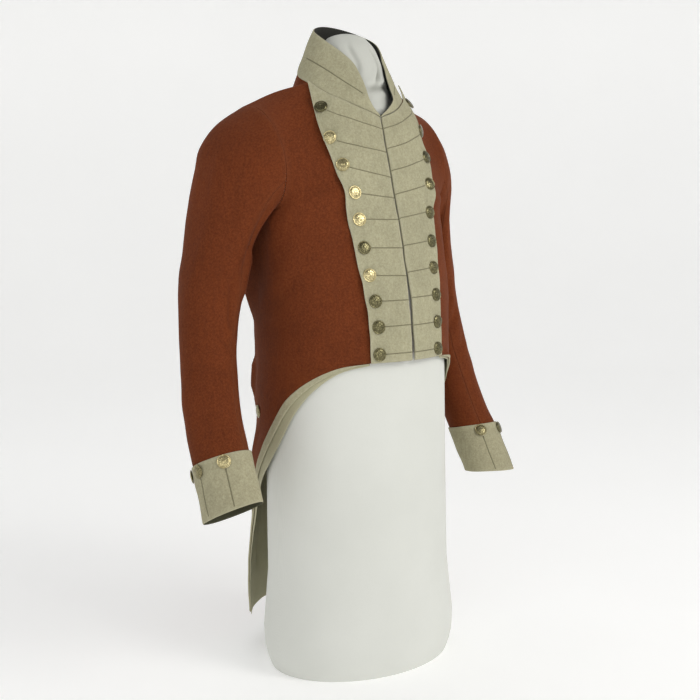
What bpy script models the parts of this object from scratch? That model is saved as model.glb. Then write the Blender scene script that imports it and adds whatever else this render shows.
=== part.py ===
"""A uniform tailcoat of about 1800 to 1815 on a limbless display form.

Metres, +Z up. The coat faces -Y, so the wearer's right is at -X. Every cloth piece is a
thin wall made from one shared skin: rows run round the body and columns run up it, and a
piece that lies on another is made from the same points, moved out along the skin's normal.
"""

import math

import bpy
import numpy as np

# Cloth and seams
CLOTH = 0.0020
FACING = 0.0018
LINING = 0.0012
GAP = 0.0003

# Levels
HEM_LEVEL = 0.480
TAIL_LEVEL = 0.050
FRONT_CHEST_LEVEL = 0.705
FRONT_NECK_LEVEL = 0.838
LAPEL_CHEST_LEVEL = 0.702
SIDE_CHEST_LEVEL = 0.700
BACK_CHEST_LEVEL = 0.775
NAPE_LEVEL = 0.912
VENT_LEVEL = 0.395
VENT_SPREAD = 0.005

# Angles round the body, in degrees from the centre front
SIDE_ANGLE = 98.0
SEAM_WAIST_ANGLE = 119.0
SEAM_CHEST_ANGLE = 122.0
SEAM_ARMHOLE_TURN = 255.0

# Columns and rows of the skin
LAPEL_COLUMNS = 6
CHEST_COLUMNS = 5
SIDE_COLUMNS = 3
NECK_COLUMNS = 4
SHOULDER_COLUMNS = CHEST_COLUMNS
SKIRT_ROWS = 12
TORSO_ROWS = 6
UPPER_ROWS = 8
COLLAR_ROWS = 4

# Body pieces share a normal at a seam unless they turn further than the first cosine, and
# a sleeve shares the body's unless it turns further than the second, as it does under the arm
BODY_TURN = 0.1
SLEEVE_TURN = 0.6

# Hip pleat and buttons
PLEAT_RISE = 0.0030
PLEAT_WIDTH = 0.016
PLEAT_SINK = 0.0055
HIP_BUTTON_LEVEL = 0.399
BUTTON_RADIUS = 0.0100
BUTTON_RIM = 0.0012
BUTTON_DOME = 0.0030
BUTTON_SIDES = 12
CUFF_BUTTON_TURNS = {"right": (59.0, 4.0, -43.0, -103.0), "left": (119.0, 53.0, -6.0, -64.0)}
CUFF_BUTTON_DROP = 0.012

# Sleeves
SLEEVE_RINGS = 16
SLEEVE_FRONT_SEAM_TURN = 112.5
SLEEVE_END_ROW = 11.85
CUFF_RINGS = 3

SIDES = {"right": -1.0, "left": 1.0}

# Sections of the coat's body: height, half width, front depth, back depth
BODY = (
    (0.046, 0.163, 0.138, 0.204),
    (0.105, 0.163, 0.138, 0.202),
    (0.155, 0.162, 0.138, 0.196),
    (0.214, 0.159, 0.137, 0.184),
    (0.305, 0.160, 0.136, 0.174),
    (0.390, 0.160, 0.134, 0.163),
    (0.480, 0.158, 0.1310, 0.156),
    (0.520, 0.158, 0.1295, 0.153),
    (0.570, 0.159, 0.1245, 0.155),
    (0.620, 0.160, 0.1155, 0.155),
    (0.680, 0.159, 0.1040, 0.153),
    (0.740, 0.158, 0.0893, 0.148),
    (0.795, 0.158, 0.0757, 0.138),
    (0.838, 0.158, 0.0650, 0.120),
    (0.880, 0.155, 0.0560, 0.098),
    (0.912, 0.150, 0.0470, 0.0700),
)

# Lapel's outer edge: height, distance from the centre line, forward reach above the chest
LAPEL_EDGE = (
    (0.480, 0.0712, 0.0000),
    (0.520, 0.0718, 0.0000),
    (0.570, 0.0745, 0.0000),
    (0.630, 0.0805, 0.0000),
    (0.680, 0.0845, 0.0000),
    (0.702, 0.0870, 0.0870),
    (0.734, 0.0914, 0.0795),
    (0.770, 0.0955, 0.0675),
    (0.812, 0.0990, 0.0455),
    (0.850, 0.0975, 0.0285),
    (0.890, 0.0850, 0.0000),
)

# Neck seam and collar edge, front to nape: seam x, y, z, then edge x, y, z
COLLAR = (
    (0.0000, -0.0650, 0.8380, 0.0025, -0.0655, 0.8425),
    (0.0220, -0.0655, 0.8450, 0.0150, -0.0680, 0.8525),
    (0.0380, -0.0595, 0.8515, 0.0236, -0.0685, 0.8640),
    (0.0550, -0.0500, 0.8600, 0.0240, -0.0610, 0.8810),
    (0.0680, -0.0400, 0.8670, 0.0256, -0.0520, 0.8985),
    (0.0790, -0.0220, 0.8780, 0.0300, -0.0410, 0.9180),
    (0.0850, 0.0000, 0.8900, 0.0400, -0.0240, 0.9360),
    (0.0835, 0.0235, 0.9000, 0.0510, 0.0000, 0.9540),
    (0.0705, 0.0440, 0.9090, 0.0490, 0.0275, 0.9695),
    (0.0415, 0.0635, 0.9120, 0.0285, 0.0515, 0.9800),
    (0.0000, 0.0700, 0.9120, 0.0000, 0.0600, 0.9840),
)

# Shoulder seam from the neck to the sleeve head: x, y, z
SHOULDER = (
    (0.0850, 0.0000, 0.8900),
    (0.1150, 0.0250, 0.8800),
    (0.1400, 0.0390, 0.8690),
    (0.1620, 0.0470, 0.8570),
)

# Red edge of the cut-away: height, angle, width of the turnback, lining that shows past it
CUTAWAY = (
    (0.4800, 27.0, 0.0025, 0.0010),
    (0.4735, 46.0, 0.0050, 0.0030),
    (0.4575, 61.0, 0.0080, 0.0070),
    (0.4380, 73.0, 0.0110, 0.0110),
    (0.4160, 82.5, 0.0125, 0.0145),
    (0.3880, 91.5, 0.0130, 0.0165),
    (0.3480, 103.0, 0.0130, 0.0155),
    (0.3030, 114.0, 0.0120, 0.0120),
    (0.2380, 125.0, 0.0110, 0.0090),
    (0.1580, 134.0, 0.0105, 0.0065),
    (0.1000, 139.0, 0.0100, 0.0050),
    (0.0500, 144.0, 0.0100, 0.0050),
)

# Pleat line of the skirt: height, angle
PLEAT = (
    (0.480, 119.0),
    (0.384, 114.5),
    (0.305, 126.0),
    (0.214, 141.0),
    (0.105, 154.0),
    (0.050, 161.0),
)

# Lapel buttons, lowest first: height and inset on the right, height and inset on the left
LAPEL_BUTTONS = (
    (0.4925, 0.0140, 0.4922, 0.0160),
    (0.5325, 0.0152, 0.5322, 0.0140),
    (0.5697, 0.0156, 0.5728, 0.0156),
    (0.6070, 0.0145, 0.6131, 0.0180),
    (0.6469, 0.0157, 0.6532, 0.0175),
    (0.6880, 0.0190, 0.6965, 0.0145),
    (0.7263, 0.0178, 0.7388, 0.0165),
    (0.7664, 0.0164, 0.7800, 0.0200),
    (0.8059, 0.0152, 0.8205, 0.0230),
    (0.8499, 0.0150, 0.8625, 0.0145),
)

# Sleeve rings from the armhole down: outer x, y, z, inner x, y, z, reach forward, reach
# backward, and how much the front of the ring hangs below its back
SLEEVE = (
    (0.1620, 0.0470, 0.8570, 0.1560, 0.0220, 0.7000, 0.0740, 0.0600, 0.004),
    (0.1905, 0.0560, 0.8365, 0.1610, 0.0250, 0.6950, 0.0750, 0.0610, 0.005),
    (0.2175, 0.0620, 0.8085, 0.1650, 0.0320, 0.6860, 0.0740, 0.0620, 0.006),
    (0.2305, 0.0650, 0.7640, 0.1690, 0.0430, 0.6710, 0.0700, 0.0620, 0.006),
    (0.2435, 0.0665, 0.7050, 0.1720, 0.0560, 0.6500, 0.0650, 0.0610, 0.005),
    (0.2545, 0.0665, 0.6480, 0.1750, 0.0640, 0.6190, 0.0600, 0.0580, 0.004),
    (0.2662, 0.0645, 0.6000, 0.1780, 0.0635, 0.5860, 0.0525, 0.0525, 0.002),
    (0.2735, 0.0610, 0.5530, 0.1870, 0.0600, 0.5450, 0.0460, 0.0460, 0.000),
    (0.2790, 0.0535, 0.5100, 0.1970, 0.0525, 0.5040, 0.0430, 0.0430, -0.004),
    (0.2860, 0.0430, 0.4640, 0.2035, 0.0430, 0.4620, 0.0415, 0.0415, -0.008),
    (0.2945, 0.0240, 0.4030, 0.2125, 0.0240, 0.4050, 0.0410, 0.0410, -0.012),
    (0.3000, -0.0050, 0.3430, 0.2180, -0.0030, 0.3440, 0.0400, 0.0400, -0.018),
    (0.3055, -0.0410, 0.2680, 0.2235, -0.0385, 0.2740, 0.0405, 0.0405, -0.020),
)
CUFF_TOP_ROW = 11
CUFF_END_ROW = 12

# How each sleeve hangs: shift of its outer line, shift of its forward reach, rise at its end,
# and how much the front of the cuff drops and its back rises
SLEEVE_HANG = {"right": (0.0, 0.0, 0.0065, 0.0), "left": (-0.0055, -0.0050, -0.0105, 0.0155)}
STRAIGHT = (0.0, 0.0, 0.0, 0.0)

# Display form: height, half width, half depth of its column
COLUMN = (
    (0.000, 0.1530, 0.1190),
    (0.006, 0.1555, 0.1215),
    (0.150, 0.1550, 0.1215),
    (0.330, 0.1535, 0.1205),
    (0.480, 0.1530, 0.1205),
)

# Neck of the form: height, half width, half depth, centre
NECK = (
    (0.836, 0.0640, 0.0640, 0.0020),
    (0.870, 0.0600, 0.0600, 0.0040),
    (0.905, 0.0550, 0.0535, 0.0065),
    (0.930, 0.0510, 0.0480, 0.0085),
    (0.948, 0.0440, 0.0410, 0.0105),
    (0.961, 0.0320, 0.0300, 0.0120),
)
NECK_TOP = 0.968
FORM_CLEARANCE = 0.0030
FORM_REST = 0.0006
NECK_STEP = 0.0070
FORM_MEETS_COAT = (0.480, 0.575)

COLOURS = {
    "red wool": (0.145, 0.032, 0.012),
    "buff wool": (0.43, 0.39, 0.25),
    "dark lining": (0.030, 0.029, 0.024),
    "form": (0.70, 0.72, 0.66),
    "brass": (0.30, 0.24, 0.11),
}


def read(table, at, column=0):
    """Rows of a table read smoothly at places along one of its columns."""
    rows = np.asarray(table, float)
    if rows[0, column] > rows[-1, column]:
        rows = rows[::-1]
    keys = rows[:, column]
    slopes = np.gradient(rows, keys, axis=0)
    place = np.clip(np.asarray(at, float), keys[0], keys[-1])
    low = np.clip(np.searchsorted(keys, place) - 1, 0, len(keys) - 2)
    width = keys[low + 1] - keys[low]
    t = ((place - keys[low]) / width)[..., None]
    width = width[..., None]
    start = (1 + 2 * t) * (1 - t) ** 2 * rows[low] + t * (1 - t) ** 2 * width * slopes[low]
    end = t * t * (3 - 2 * t) * rows[low + 1] + t * t * (t - 1) * width * slopes[low + 1]
    return start + end


def numbered(table):
    """The table with its row numbers as a first column."""
    return np.column_stack([np.arange(len(table)), np.asarray(table, float)])


def mix(a, b, share):
    return a + (b - a) * share


def ease(t):
    t = np.clip(t, 0.0, 1.0)
    return t * t * (3 - 2 * t)


def body(angle, height):
    """A point of the body's skin, by angle from the centre front and height."""
    turn = np.radians(np.asarray(angle, float))
    height = np.asarray(height, float) + 0.0 * turn
    section = read(BODY, height)
    depth = np.where(np.cos(turn) > 0, section[..., 2], section[..., 3])
    return np.stack([section[..., 1] * np.sin(turn), -depth * np.cos(turn), height], -1)


def angle_of(point):
    """The body angle whose direction a point lies in."""
    section = read(BODY, point[..., 2])
    depth = np.where(point[..., 1] < 0, section[..., 2], section[..., 3])
    return np.degrees(np.arctan2(point[..., 0] / section[..., 1], -point[..., 1] / depth))


def armhole(turn):
    """A point of the armhole: 0 at the shoulder, 90 in front, 180 below, 270 behind."""
    return sleeve(0.0, turn)


def sleeve(row, turn, hang=STRAIGHT):
    """A point of the sleeve, by its place in the table of rings and its turn in degrees."""
    ring = read(numbered(SLEEVE), row)[..., 1:].copy()
    ring[..., 0] += hang[0] * ease(row / 2)
    ring[..., 6] += hang[1] * ease(row / 2)
    ring[..., [2, 5]] += hang[2] * (row / CUFF_END_ROW) ** 2
    ring[..., 8] += hang[3] * (row / CUFF_END_ROW) ** 4
    turn = np.radians(np.asarray(turn, float))[..., None]
    outer, inner = ring[..., 0:3], ring[..., 3:6]
    along = np.where(np.sin(turn) > 0, ring[..., 6:7], ring[..., 7:8]) * np.sin(turn)
    lean = ring[..., 8:9] * np.sin(turn)
    across = (outer - inner) / 2 * np.cos(turn)
    forward = np.concatenate([0 * along, -along, -lean], -1)
    return (outer + inner) / 2 + across + forward


def spread(left, right, share, ends=None, end_weight=0.0, seen=(None, None)):
    """A row of the skin between two guide points.

    The row takes the body's own roundness between them. ends is the shape that the last row
    has, and end_weight says how far this row has turned into it.
    """
    share = np.asarray(share, float)[:, None]
    angles = [angle_of(p) if a is None else a for p, a in zip((left, right), seen)]
    angle = mix(angles[0], angles[1], share[:, 0])
    height = mix(left[2], right[2], share[:, 0])
    round_row = body(angle, height)
    round_part = round_row - mix(round_row[0], round_row[-1], share)
    row = mix(left, right, share) + (1 - end_weight) * round_part
    if ends is not None:
        row = row + end_weight * (ends - mix(ends[0], ends[-1], share))
    return row


def lapel_edge(step):
    """A point of the lapel's outer edge: step 0 at the hem, 1 at the chest, 2 at the neck."""
    levels = (HEM_LEVEL, LAPEL_CHEST_LEVEL, COLLAR[6][2])
    height = np.interp(step, (0, 1, 2), levels)
    row = read(LAPEL_EDGE, height)
    section = read(BODY, height)
    on_body = section[2] * math.sqrt(max(0.0, 1 - (row[1] / section[1]) ** 2))
    forward = mix(on_body, row[2], float(ease((height - 0.690) / 0.035)))
    return np.array([row[1], -forward, height])


def centre_front(step):
    height = np.interp(step, (0, 1, 2), (HEM_LEVEL, FRONT_CHEST_LEVEL, FRONT_NECK_LEVEL))
    return body(0.0, height)


def centre_back(step):
    height = np.interp(step, (0, 1, 2), (HEM_LEVEL, BACK_CHEST_LEVEL, NAPE_LEVEL))
    return body(180.0, height)


def side_line(step):
    """Below the arm, then up the front of the armhole."""
    if step > 1:
        return armhole(180.0 * (2 - step))
    at_armhole = armhole(180.0)
    height = mix(HEM_LEVEL, SIDE_CHEST_LEVEL, step)
    lift = at_armhole - body(SIDE_ANGLE, SIDE_CHEST_LEVEL)
    return body(SIDE_ANGLE, height) + lift * step**2


def back_seam(step):
    """The side-back seam, then up the back of the armhole."""
    if step > 1:
        return armhole(mix(SEAM_ARMHOLE_TURN, 360.0, step - 1))
    at_armhole = armhole(SEAM_ARMHOLE_TURN)
    height = mix(HEM_LEVEL, at_armhole[2], step)
    angle = mix(SEAM_WAIST_ANGLE, SEAM_CHEST_ANGLE, step)
    lift = at_armhole - body(SEAM_CHEST_ANGLE, at_armhole[2])
    return body(angle, height) + lift * step**2


def neck_seam(places):
    return read(numbered(COLLAR), places)[..., 1:4]


def shoulder_seam(shares):
    return read(numbered(SHOULDER), np.asarray(shares) * (len(SHOULDER) - 1))[..., 1:4]


def upper_steps():
    torso = np.linspace(0, 1, TORSO_ROWS + 1)
    upper = np.linspace(1, 2, UPPER_ROWS + 1)[1:]
    return np.concatenate([torso, upper])


def forepart_grid():
    """Rows from the waist up: lapel columns, chest columns, side columns (none above the arm)."""
    lapel_share = np.linspace(0, 1, LAPEL_COLUMNS + 1)
    chest_share = np.linspace(0, 1, CHEST_COLUMNS + 1)
    side_share = np.linspace(0, 1, SIDE_COLUMNS + 1)
    neck = neck_seam(np.linspace(0, 6, LAPEL_COLUMNS + 1))
    shoulder = shoulder_seam(chest_share)
    under_arm = armhole(mix(180.0, SEAM_ARMHOLE_TURN, side_share))
    rows = []
    for step in upper_steps():
        top = float(ease(step - 1))
        near_arm = float(np.clip(step, 0, 1) ** 3)
        edge, side = lapel_edge(step), side_line(step)
        lapel = spread(centre_front(step), edge, lapel_share, neck, top)
        shares = chest_share
        if step == 0:
            shares = waist_shares(edge, side)
        chest = spread(edge, side, shares, shoulder, top)
        flank = spread(side, back_seam(min(step, 1)), side_share, under_arm, near_arm)
        if step > 1:
            flank = np.full_like(flank, np.nan)
        rows.append(np.concatenate([lapel, chest[1:], flank[1:]]))
    return np.array(rows)


def waist_shares(edge, side):
    """At the waist the first chest column stands close to the lapel, where the edging starts."""
    first = (CUTAWAY[0][1] - angle_of(edge)) / (angle_of(side) - angle_of(edge))
    return np.concatenate([[0.0], np.linspace(first, 1, CHEST_COLUMNS)])


def back_grid():
    """Rows from the waist up: columns from the centre back to the seam and the armhole."""
    columns = NECK_COLUMNS + SHOULDER_COLUMNS
    share = np.linspace(0, 1, columns + 1)
    neck = neck_seam(np.linspace(10, 6, NECK_COLUMNS + 1))
    shoulder = shoulder_seam(np.linspace(0, 1, SHOULDER_COLUMNS + 1))
    top_row = np.concatenate([neck, shoulder[1:]])
    rows = []
    for step in upper_steps():
        top = float(ease(step - 1))
        ends = softened(top_row, round(10 * (2 - step)))
        rows.append(spread(centre_back(step), back_seam(step), share, ends, top))
    return np.array(rows)


def softened(row, times):
    """A row whose corners are rounded off. Its ends stay."""
    for _ in range(times):
        row = np.concatenate([row[:1], (row[:-2] + 2 * row[1:-1] + row[2:]) / 4, row[-1:]])
    return row


def edge_places():
    """Places along the cut-away, evenly spaced by length: height, angle, turnback, lining."""
    fine = read(numbered(CUTAWAY), np.linspace(0, len(CUTAWAY) - 1, 400))[:, 1:]
    points = body(fine[:, 1], fine[:, 0])
    length = np.concatenate([[0], np.cumsum(np.linalg.norm(np.diff(points, axis=0), axis=1))])
    at = np.linspace(0, length[-1], SKIRT_ROWS + 1)
    return np.stack([np.interp(at, length, fine[:, k]) for k in range(4)], -1)


def beside_edge(places, distance):
    """Heights and angles a distance outside the cut-away line."""
    radius = np.linalg.norm(body(places[:, 1], places[:, 0])[:, :2], axis=1)
    arc = np.radians(places[:, 1]) * radius
    along = np.stack([np.gradient(arc), np.gradient(places[:, 0])], -1)
    along /= np.linalg.norm(along, axis=1)[:, None]
    height = places[:, 0] - along[:, 0] * distance
    angle = places[:, 1] + np.degrees(along[:, 1] * distance / radius)
    return height, angle


def skirt_grid(waist_front, waist_back):
    """Rows from the waist down: lining edge, cut edge, red edge, fore-skirt, back-skirt.

    The first row is the waist row of the forepart from the lapel's edge, and of the back.
    """
    places = edge_places()
    cut = beside_edge(places, places[:, 2])
    lining = beside_edge(places, places[:, 2] + places[:, 3])
    front_angles = angle_of(waist_front)
    front_shares = (front_angles[1:] - front_angles[1]) / (front_angles[-1] - front_angles[1])
    back_shares = np.linspace(0, 1, len(waist_back))
    down = np.linspace(0, 1, SKIRT_ROWS + 1)
    seam_heights = mix(HEM_LEVEL, TAIL_LEVEL + 0.004, down**1.1)
    back_heights = mix(HEM_LEVEL, TAIL_LEVEL + 0.003, down**1.15)
    rows = []
    for k in range(SKIRT_ROWS + 1):
        seam_angle = float(read(PLEAT, seam_heights[k])[1])
        angle = mix(places[k, 1], seam_angle, front_shares)
        height = mix(places[k, 0], seam_heights[k], front_shares)
        fore = body(angle, height)
        back_angle = mix(seam_angle, 180.0, back_shares)
        back = body(back_angle, mix(seam_heights[k], back_heights[k], back_shares))
        if k == 0:
            fore, back = waist_front[1:], waist_back
        edges = [body(lining[1][k], lining[0][k]), body(cut[1][k], cut[0][k])]
        if k == 0:
            edges[1] = waist_front[0]
        rows.append(np.concatenate([edges, fore, back[1:]]))
    return sink_pleat(np.array(rows))


def sink_pleat(points):
    """The hollow under the hip, where the skirt's pleat begins below the waist."""
    angle = angle_of(points)
    height = points[..., 2]
    across = np.exp(-(((angle - 124.0) / 20.0) ** 2))
    below = ease((0.401 - height) / 0.014) * (1 - ease((0.385 - height) / 0.075))
    out = points * np.array([1.0, 1.0, 0.0])
    out /= np.linalg.norm(out, axis=-1)[..., None]
    return points - out * (PLEAT_SINK * across * below)[..., None]


class Skin:
    """Normals of the whole skin, shared where its pieces meet smoothly."""

    def __init__(self):
        self.found = {}

    def key(self, point):
        return tuple(np.round(np.abs(point) * 2e4).astype(int))

    def learn(self, name, piece, normals, used):
        for place in zip(*np.nonzero(used)):
            kept = self.found.setdefault(self.key(piece[place]), [])
            kept.append((name.startswith("sleeve"), normals[place]))

    def shared(self, name, piece, normals, used):
        result = normals.copy()
        for place in zip(*np.nonzero(used)):
            mine = normals[place]
            near = []
            for is_sleeve, other in self.found[self.key(piece[place])]:
                apart = is_sleeve != name.startswith("sleeve")
                if other @ mine > (SLEEVE_TURN if apart else BODY_TURN):
                    near.append(other)
            total = np.sum(near, axis=0)
            if piece[place][0] < 1e-6:
                total[0] = 0.0
            result[place] = total / np.linalg.norm(total)
        return result


def whole(points):
    """Every quad of a grid whose corners exist."""
    there = np.isfinite(points[..., 0])
    return there[:-1, :-1] & there[1:, :-1] & there[:-1, 1:] & there[1:, 1:]


def used_places(mask):
    used = np.zeros((mask.shape[0] + 1, mask.shape[1] + 1), bool)
    for a in (0, 1):
        for b in (0, 1):
            used[a : a + mask.shape[0], b : b + mask.shape[1]] |= mask
    return used


def grid_normals(points, mask, wrap=False):
    """Area-weighted normals of a grid whose rows run up and whose columns run to the left."""
    normals = np.zeros_like(points)
    for i, j in zip(*np.nonzero(mask)):
        a, b = points[i, j], points[i, j + 1]
        c, d = points[i + 1, j + 1], points[i + 1, j]
        face = np.cross(c - a, d - b)
        for place in ((i, j), (i, j + 1), (i + 1, j + 1), (i + 1, j)):
            normals[place] += face
    if wrap:
        both = normals[:, 0] + normals[:, -1]
        normals[:, 0] = both
        normals[:, -1] = both
    size = np.linalg.norm(normals, axis=-1, keepdims=True)
    return normals / np.where(size > 0, size, 1)


def drawn_in(points, mask, gap, wrap=False):
    """The grid with its outer edges drawn in by half a gap, so that neighbours stay apart."""
    pulls = {}
    rows, columns = mask.shape

    def has(i, j):
        if wrap:
            j %= columns
        return 0 <= i < rows and 0 <= j < columns and mask[i, j]

    for i, j in zip(*np.nonzero(mask)):
        centre = (points[i, j] + points[i, j + 1] + points[i + 1, j + 1] + points[i + 1, j]) / 4
        sides = (
            ((i, j), (i, j + 1), has(i - 1, j)),
            ((i + 1, j), (i + 1, j + 1), has(i + 1, j)),
            ((i, j), (i + 1, j), has(i, j - 1)),
            ((i, j + 1), (i + 1, j + 1), has(i, j + 1)),
        )
        for a, b, inner in sides:
            if inner:
                continue
            edge = points[b] - points[a]
            inward = centre - points[a]
            inward = inward - edge * (inward @ edge) / max(edge @ edge, 1e-12)
            inward /= np.linalg.norm(inward)
            pulls.setdefault(a, []).append(inward)
            pulls.setdefault(b, []).append(inward)
    moved = points.copy()
    for place, found in pulls.items():
        total = np.sum(found, axis=0)
        share = 1 + found[0] @ found[1] if len(found) == 2 else 2.0
        moved[place] = points[place] + total / max(share, 0.6) * gap / 2
    return moved


def wall(points, normals, mask, low, high, wrap=False, gap=GAP):
    """A closed wall between two offsets from a grid. Returns its vertices and triangles."""
    base = drawn_in(points, mask, gap, wrap)
    columns = mask.shape[1]
    index = {}
    vertices = []

    def vertex(i, j, layer):
        if wrap:
            j %= columns
        name = (i, j, layer)
        if name not in index:
            offset = high if layer else low
            if np.ndim(offset):
                offset = offset[i, j]
            point = base[i, j] + normals[i, j] * offset
            index[name] = len(vertices)
            vertices.append(point)
        return index[name]

    def has(i, j):
        if wrap:
            j %= columns
        return 0 <= i < mask.shape[0] and 0 <= j < columns and mask[i, j]

    faces = []
    for i, j in zip(*np.nonzero(mask)):
        for layer in (0, 1):
            a, b = vertex(i, j, layer), vertex(i, j + 1, layer)
            c, d = vertex(i + 1, j + 1, layer), vertex(i + 1, j, layer)
            faces += [(a, b, c), (a, c, d)] if layer else [(c, b, a), (d, c, a)]
        rims = (
            ((i, j), (i, j + 1), has(i - 1, j)),
            ((i, j + 1), (i + 1, j + 1), has(i, j + 1)),
            ((i + 1, j + 1), (i + 1, j), has(i + 1, j)),
            ((i + 1, j), (i, j), has(i, j - 1)),
        )
        for a, b, inner in rims:
            if inner:
                continue
            p, q = vertex(*a, 0), vertex(*b, 0)
            r, s = vertex(*b, 1), vertex(*a, 1)
            faces += [(p, q, r), (p, r, s)]
    return np.array(vertices), faces


def material(name, colour, roughness, metallic=0.0):
    found = bpy.data.materials.new(name)
    found.use_nodes = True
    shader = found.node_tree.nodes["Principled BSDF"]
    shader.inputs["Base Color"].default_value = (*colour, 1.0)
    shader.inputs["Roughness"].default_value = roughness
    shader.inputs["Metallic"].default_value = metallic
    return found


def add(name, vertices, faces, kind, root, side=1.0):
    """One named solid. side -1 mirrors it to the wearer's right."""
    points = np.asarray(vertices) * np.array([side, 1.0, 1.0])
    turned = [tuple(reversed(f)) for f in faces] if side < 0 else faces
    mesh = bpy.data.meshes.new(name)
    mesh.from_pydata(points.tolist(), [], [tuple(map(int, f)) for f in turned])
    mesh.validate()
    mesh.shade_smooth()
    mesh.set_sharp_from_angle(angle=math.radians(40))
    roughness = 0.4 if kind == "brass" else 0.9
    mesh.materials.append(material(name, COLOURS[kind], roughness, 0.9 if kind == "brass" else 0.0))
    piece = bpy.data.objects.new(name, mesh)
    bpy.context.collection.objects.link(piece)
    piece.parent = root
    return piece


def full_grids():
    """Forepart, back and skirt grids, rows running up from the tail and columns to the back."""
    fore = forepart_grid()
    back = back_grid()[:, ::-1]
    skirt = skirt_grid(fore[0, LAPEL_COLUMNS:], back[0])[::-1]
    seam = 1 + CHEST_COLUMNS + SIDE_COLUMNS
    blank = np.full((SKIRT_ROWS, LAPEL_COLUMNS, 3), np.nan)
    fore_skirt = np.concatenate([blank, skirt[:-1, 1 : seam + 1]], axis=1)
    forepart = np.concatenate([fore_skirt, fore])
    back = np.concatenate([skirt[:-1, seam:], back])
    open_vent(back)
    open_vent(skirt)
    return forepart, back, skirt


def open_vent(points):
    """Below the waist the two tails part a little at the centre back."""
    edge = points[:, -1]
    drop = np.clip((VENT_LEVEL - edge[:, 2]) / (VENT_LEVEL - TAIL_LEVEL), 0, 1)
    edge[:, 0] = np.maximum(edge[:, 0], VENT_SPREAD * drop)


def pleat_rise(points, seam_column):
    """How far the folded edge beside the pleat line stands out, by place in a grid."""
    seam = points[:, seam_column]
    away = np.linalg.norm(points - seam[:, None], axis=-1)
    fold = np.exp(-((away / PLEAT_WIDTH) ** 2))
    fold = np.where(np.isfinite(fold), fold, 0)
    starts = np.nan_to_num(ease((HIP_BUTTON_LEVEL - 0.012 - seam[:, 2]) / 0.030))
    return PLEAT_RISE * fold * starts[:, None]


def sleeve_turns():
    """Turns of the armhole's points, the same ones that the forepart and back end on.

    They run down from 360, so that the sleeve's normals point out of it.
    """
    front = 180 * (1 - np.linspace(0, 1, UPPER_ROWS + 1))
    under = np.linspace(180.0, SEAM_ARMHOLE_TURN, SIDE_COLUMNS + 1)
    behind = mix(SEAM_ARMHOLE_TURN, 360.0, np.linspace(0, 1, UPPER_ROWS + 1))
    return np.concatenate([front[::-1], under[1:], behind[1:]])[::-1]


def sleeve_grid(rows, hang):
    """Rows run up from the cuff to the armhole, and columns turn from the back to the front."""
    turns = sleeve_turns()
    return np.array([sleeve(row, turns, hang) for row in sorted(rows, reverse=True)])


def sleeve_walls(points, normals):
    """The top sleeve, round the outside of the arm, and the under sleeve, beside the body."""
    turns = sleeve_turns()
    front = int(np.argmin(np.abs(turns - SLEEVE_FRONT_SEAM_TURN)))
    rear = int(np.argmin(np.abs(turns - SEAM_ARMHOLE_TURN)))
    under = slice(rear, front + 1)
    around = np.r_[front : len(turns) - 1, 0 : rear + 1]
    walls = []
    for columns in (around, np.arange(len(turns))[under]):
        part = points[:, columns]
        walls.append(wall(part, normals[:, columns], whole(part), -CLOTH, 0.0))
    return walls


def triangle_points(vertices, faces, steps=12):
    """Points spread over triangles, corners and edges among them."""
    shares = [(a / steps, b / steps) for a in range(steps + 1) for b in range(steps + 1 - a)]
    a, b, c = (vertices[[f[k] for f in faces]] for k in range(3))
    return np.concatenate([a + (b - a) * s + (c - a) * t for s, t in shares])


def seat(carrier, point, axis):
    """A button's place: its back just clear of the cloth under it."""
    vertices, faces = carrier
    middles = vertices[np.array(faces)].mean(axis=1)
    near = [f for f, m in zip(faces, middles) if np.linalg.norm(m - point) < 0.05]
    spots = triangle_points(vertices, near) - point
    height = spots @ axis
    apart = np.linalg.norm(spots - height[:, None] * axis, axis=1)
    under = (apart < BUTTON_RADIUS) & (np.abs(height) < 0.01)
    return point + axis * (height[under].max() + 1.3 * GAP)


def button_shape():
    """A domed button: profile of distance from the axis and height, turned round it."""
    profile = (
        (1.00, 0.0),
        (1.00, BUTTON_RIM / BUTTON_DOME),
        (0.80, 0.72),
        (0.45, 0.94),
    )
    vertices = [(0.0, 0.0, 0.0), (0.0, 0.0, BUTTON_DOME)]
    for reach, height in profile:
        for k in range(BUTTON_SIDES):
            turn = 2 * math.pi * k / BUTTON_SIDES
            vertices.append(
                (
                    BUTTON_RADIUS * reach * math.cos(turn),
                    BUTTON_RADIUS * reach * math.sin(turn),
                    BUTTON_DOME * height,
                )
            )
    faces = []
    for k in range(BUTTON_SIDES):
        after = (k + 1) % BUTTON_SIDES
        faces.append((0, 2 + after, 2 + k))
        for ring in range(len(profile) - 1):
            low = 2 + ring * BUTTON_SIDES
            high = low + BUTTON_SIDES
            faces += [(low + k, low + after, high + after), (low + k, high + after, high + k)]
        top = 2 + (len(profile) - 1) * BUTTON_SIDES
        faces.append((1, top + k, top + after))
    return np.array(vertices), faces


def turned_to(vertices, axis, place):
    """Vertices about +Z turned to an axis and moved to a place."""
    up = np.array([0.0, 0.0, 1.0])
    first = np.cross(up, axis)
    first /= np.linalg.norm(first)
    second = np.cross(axis, first)
    return place + vertices @ np.array([first, second, axis])


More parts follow.
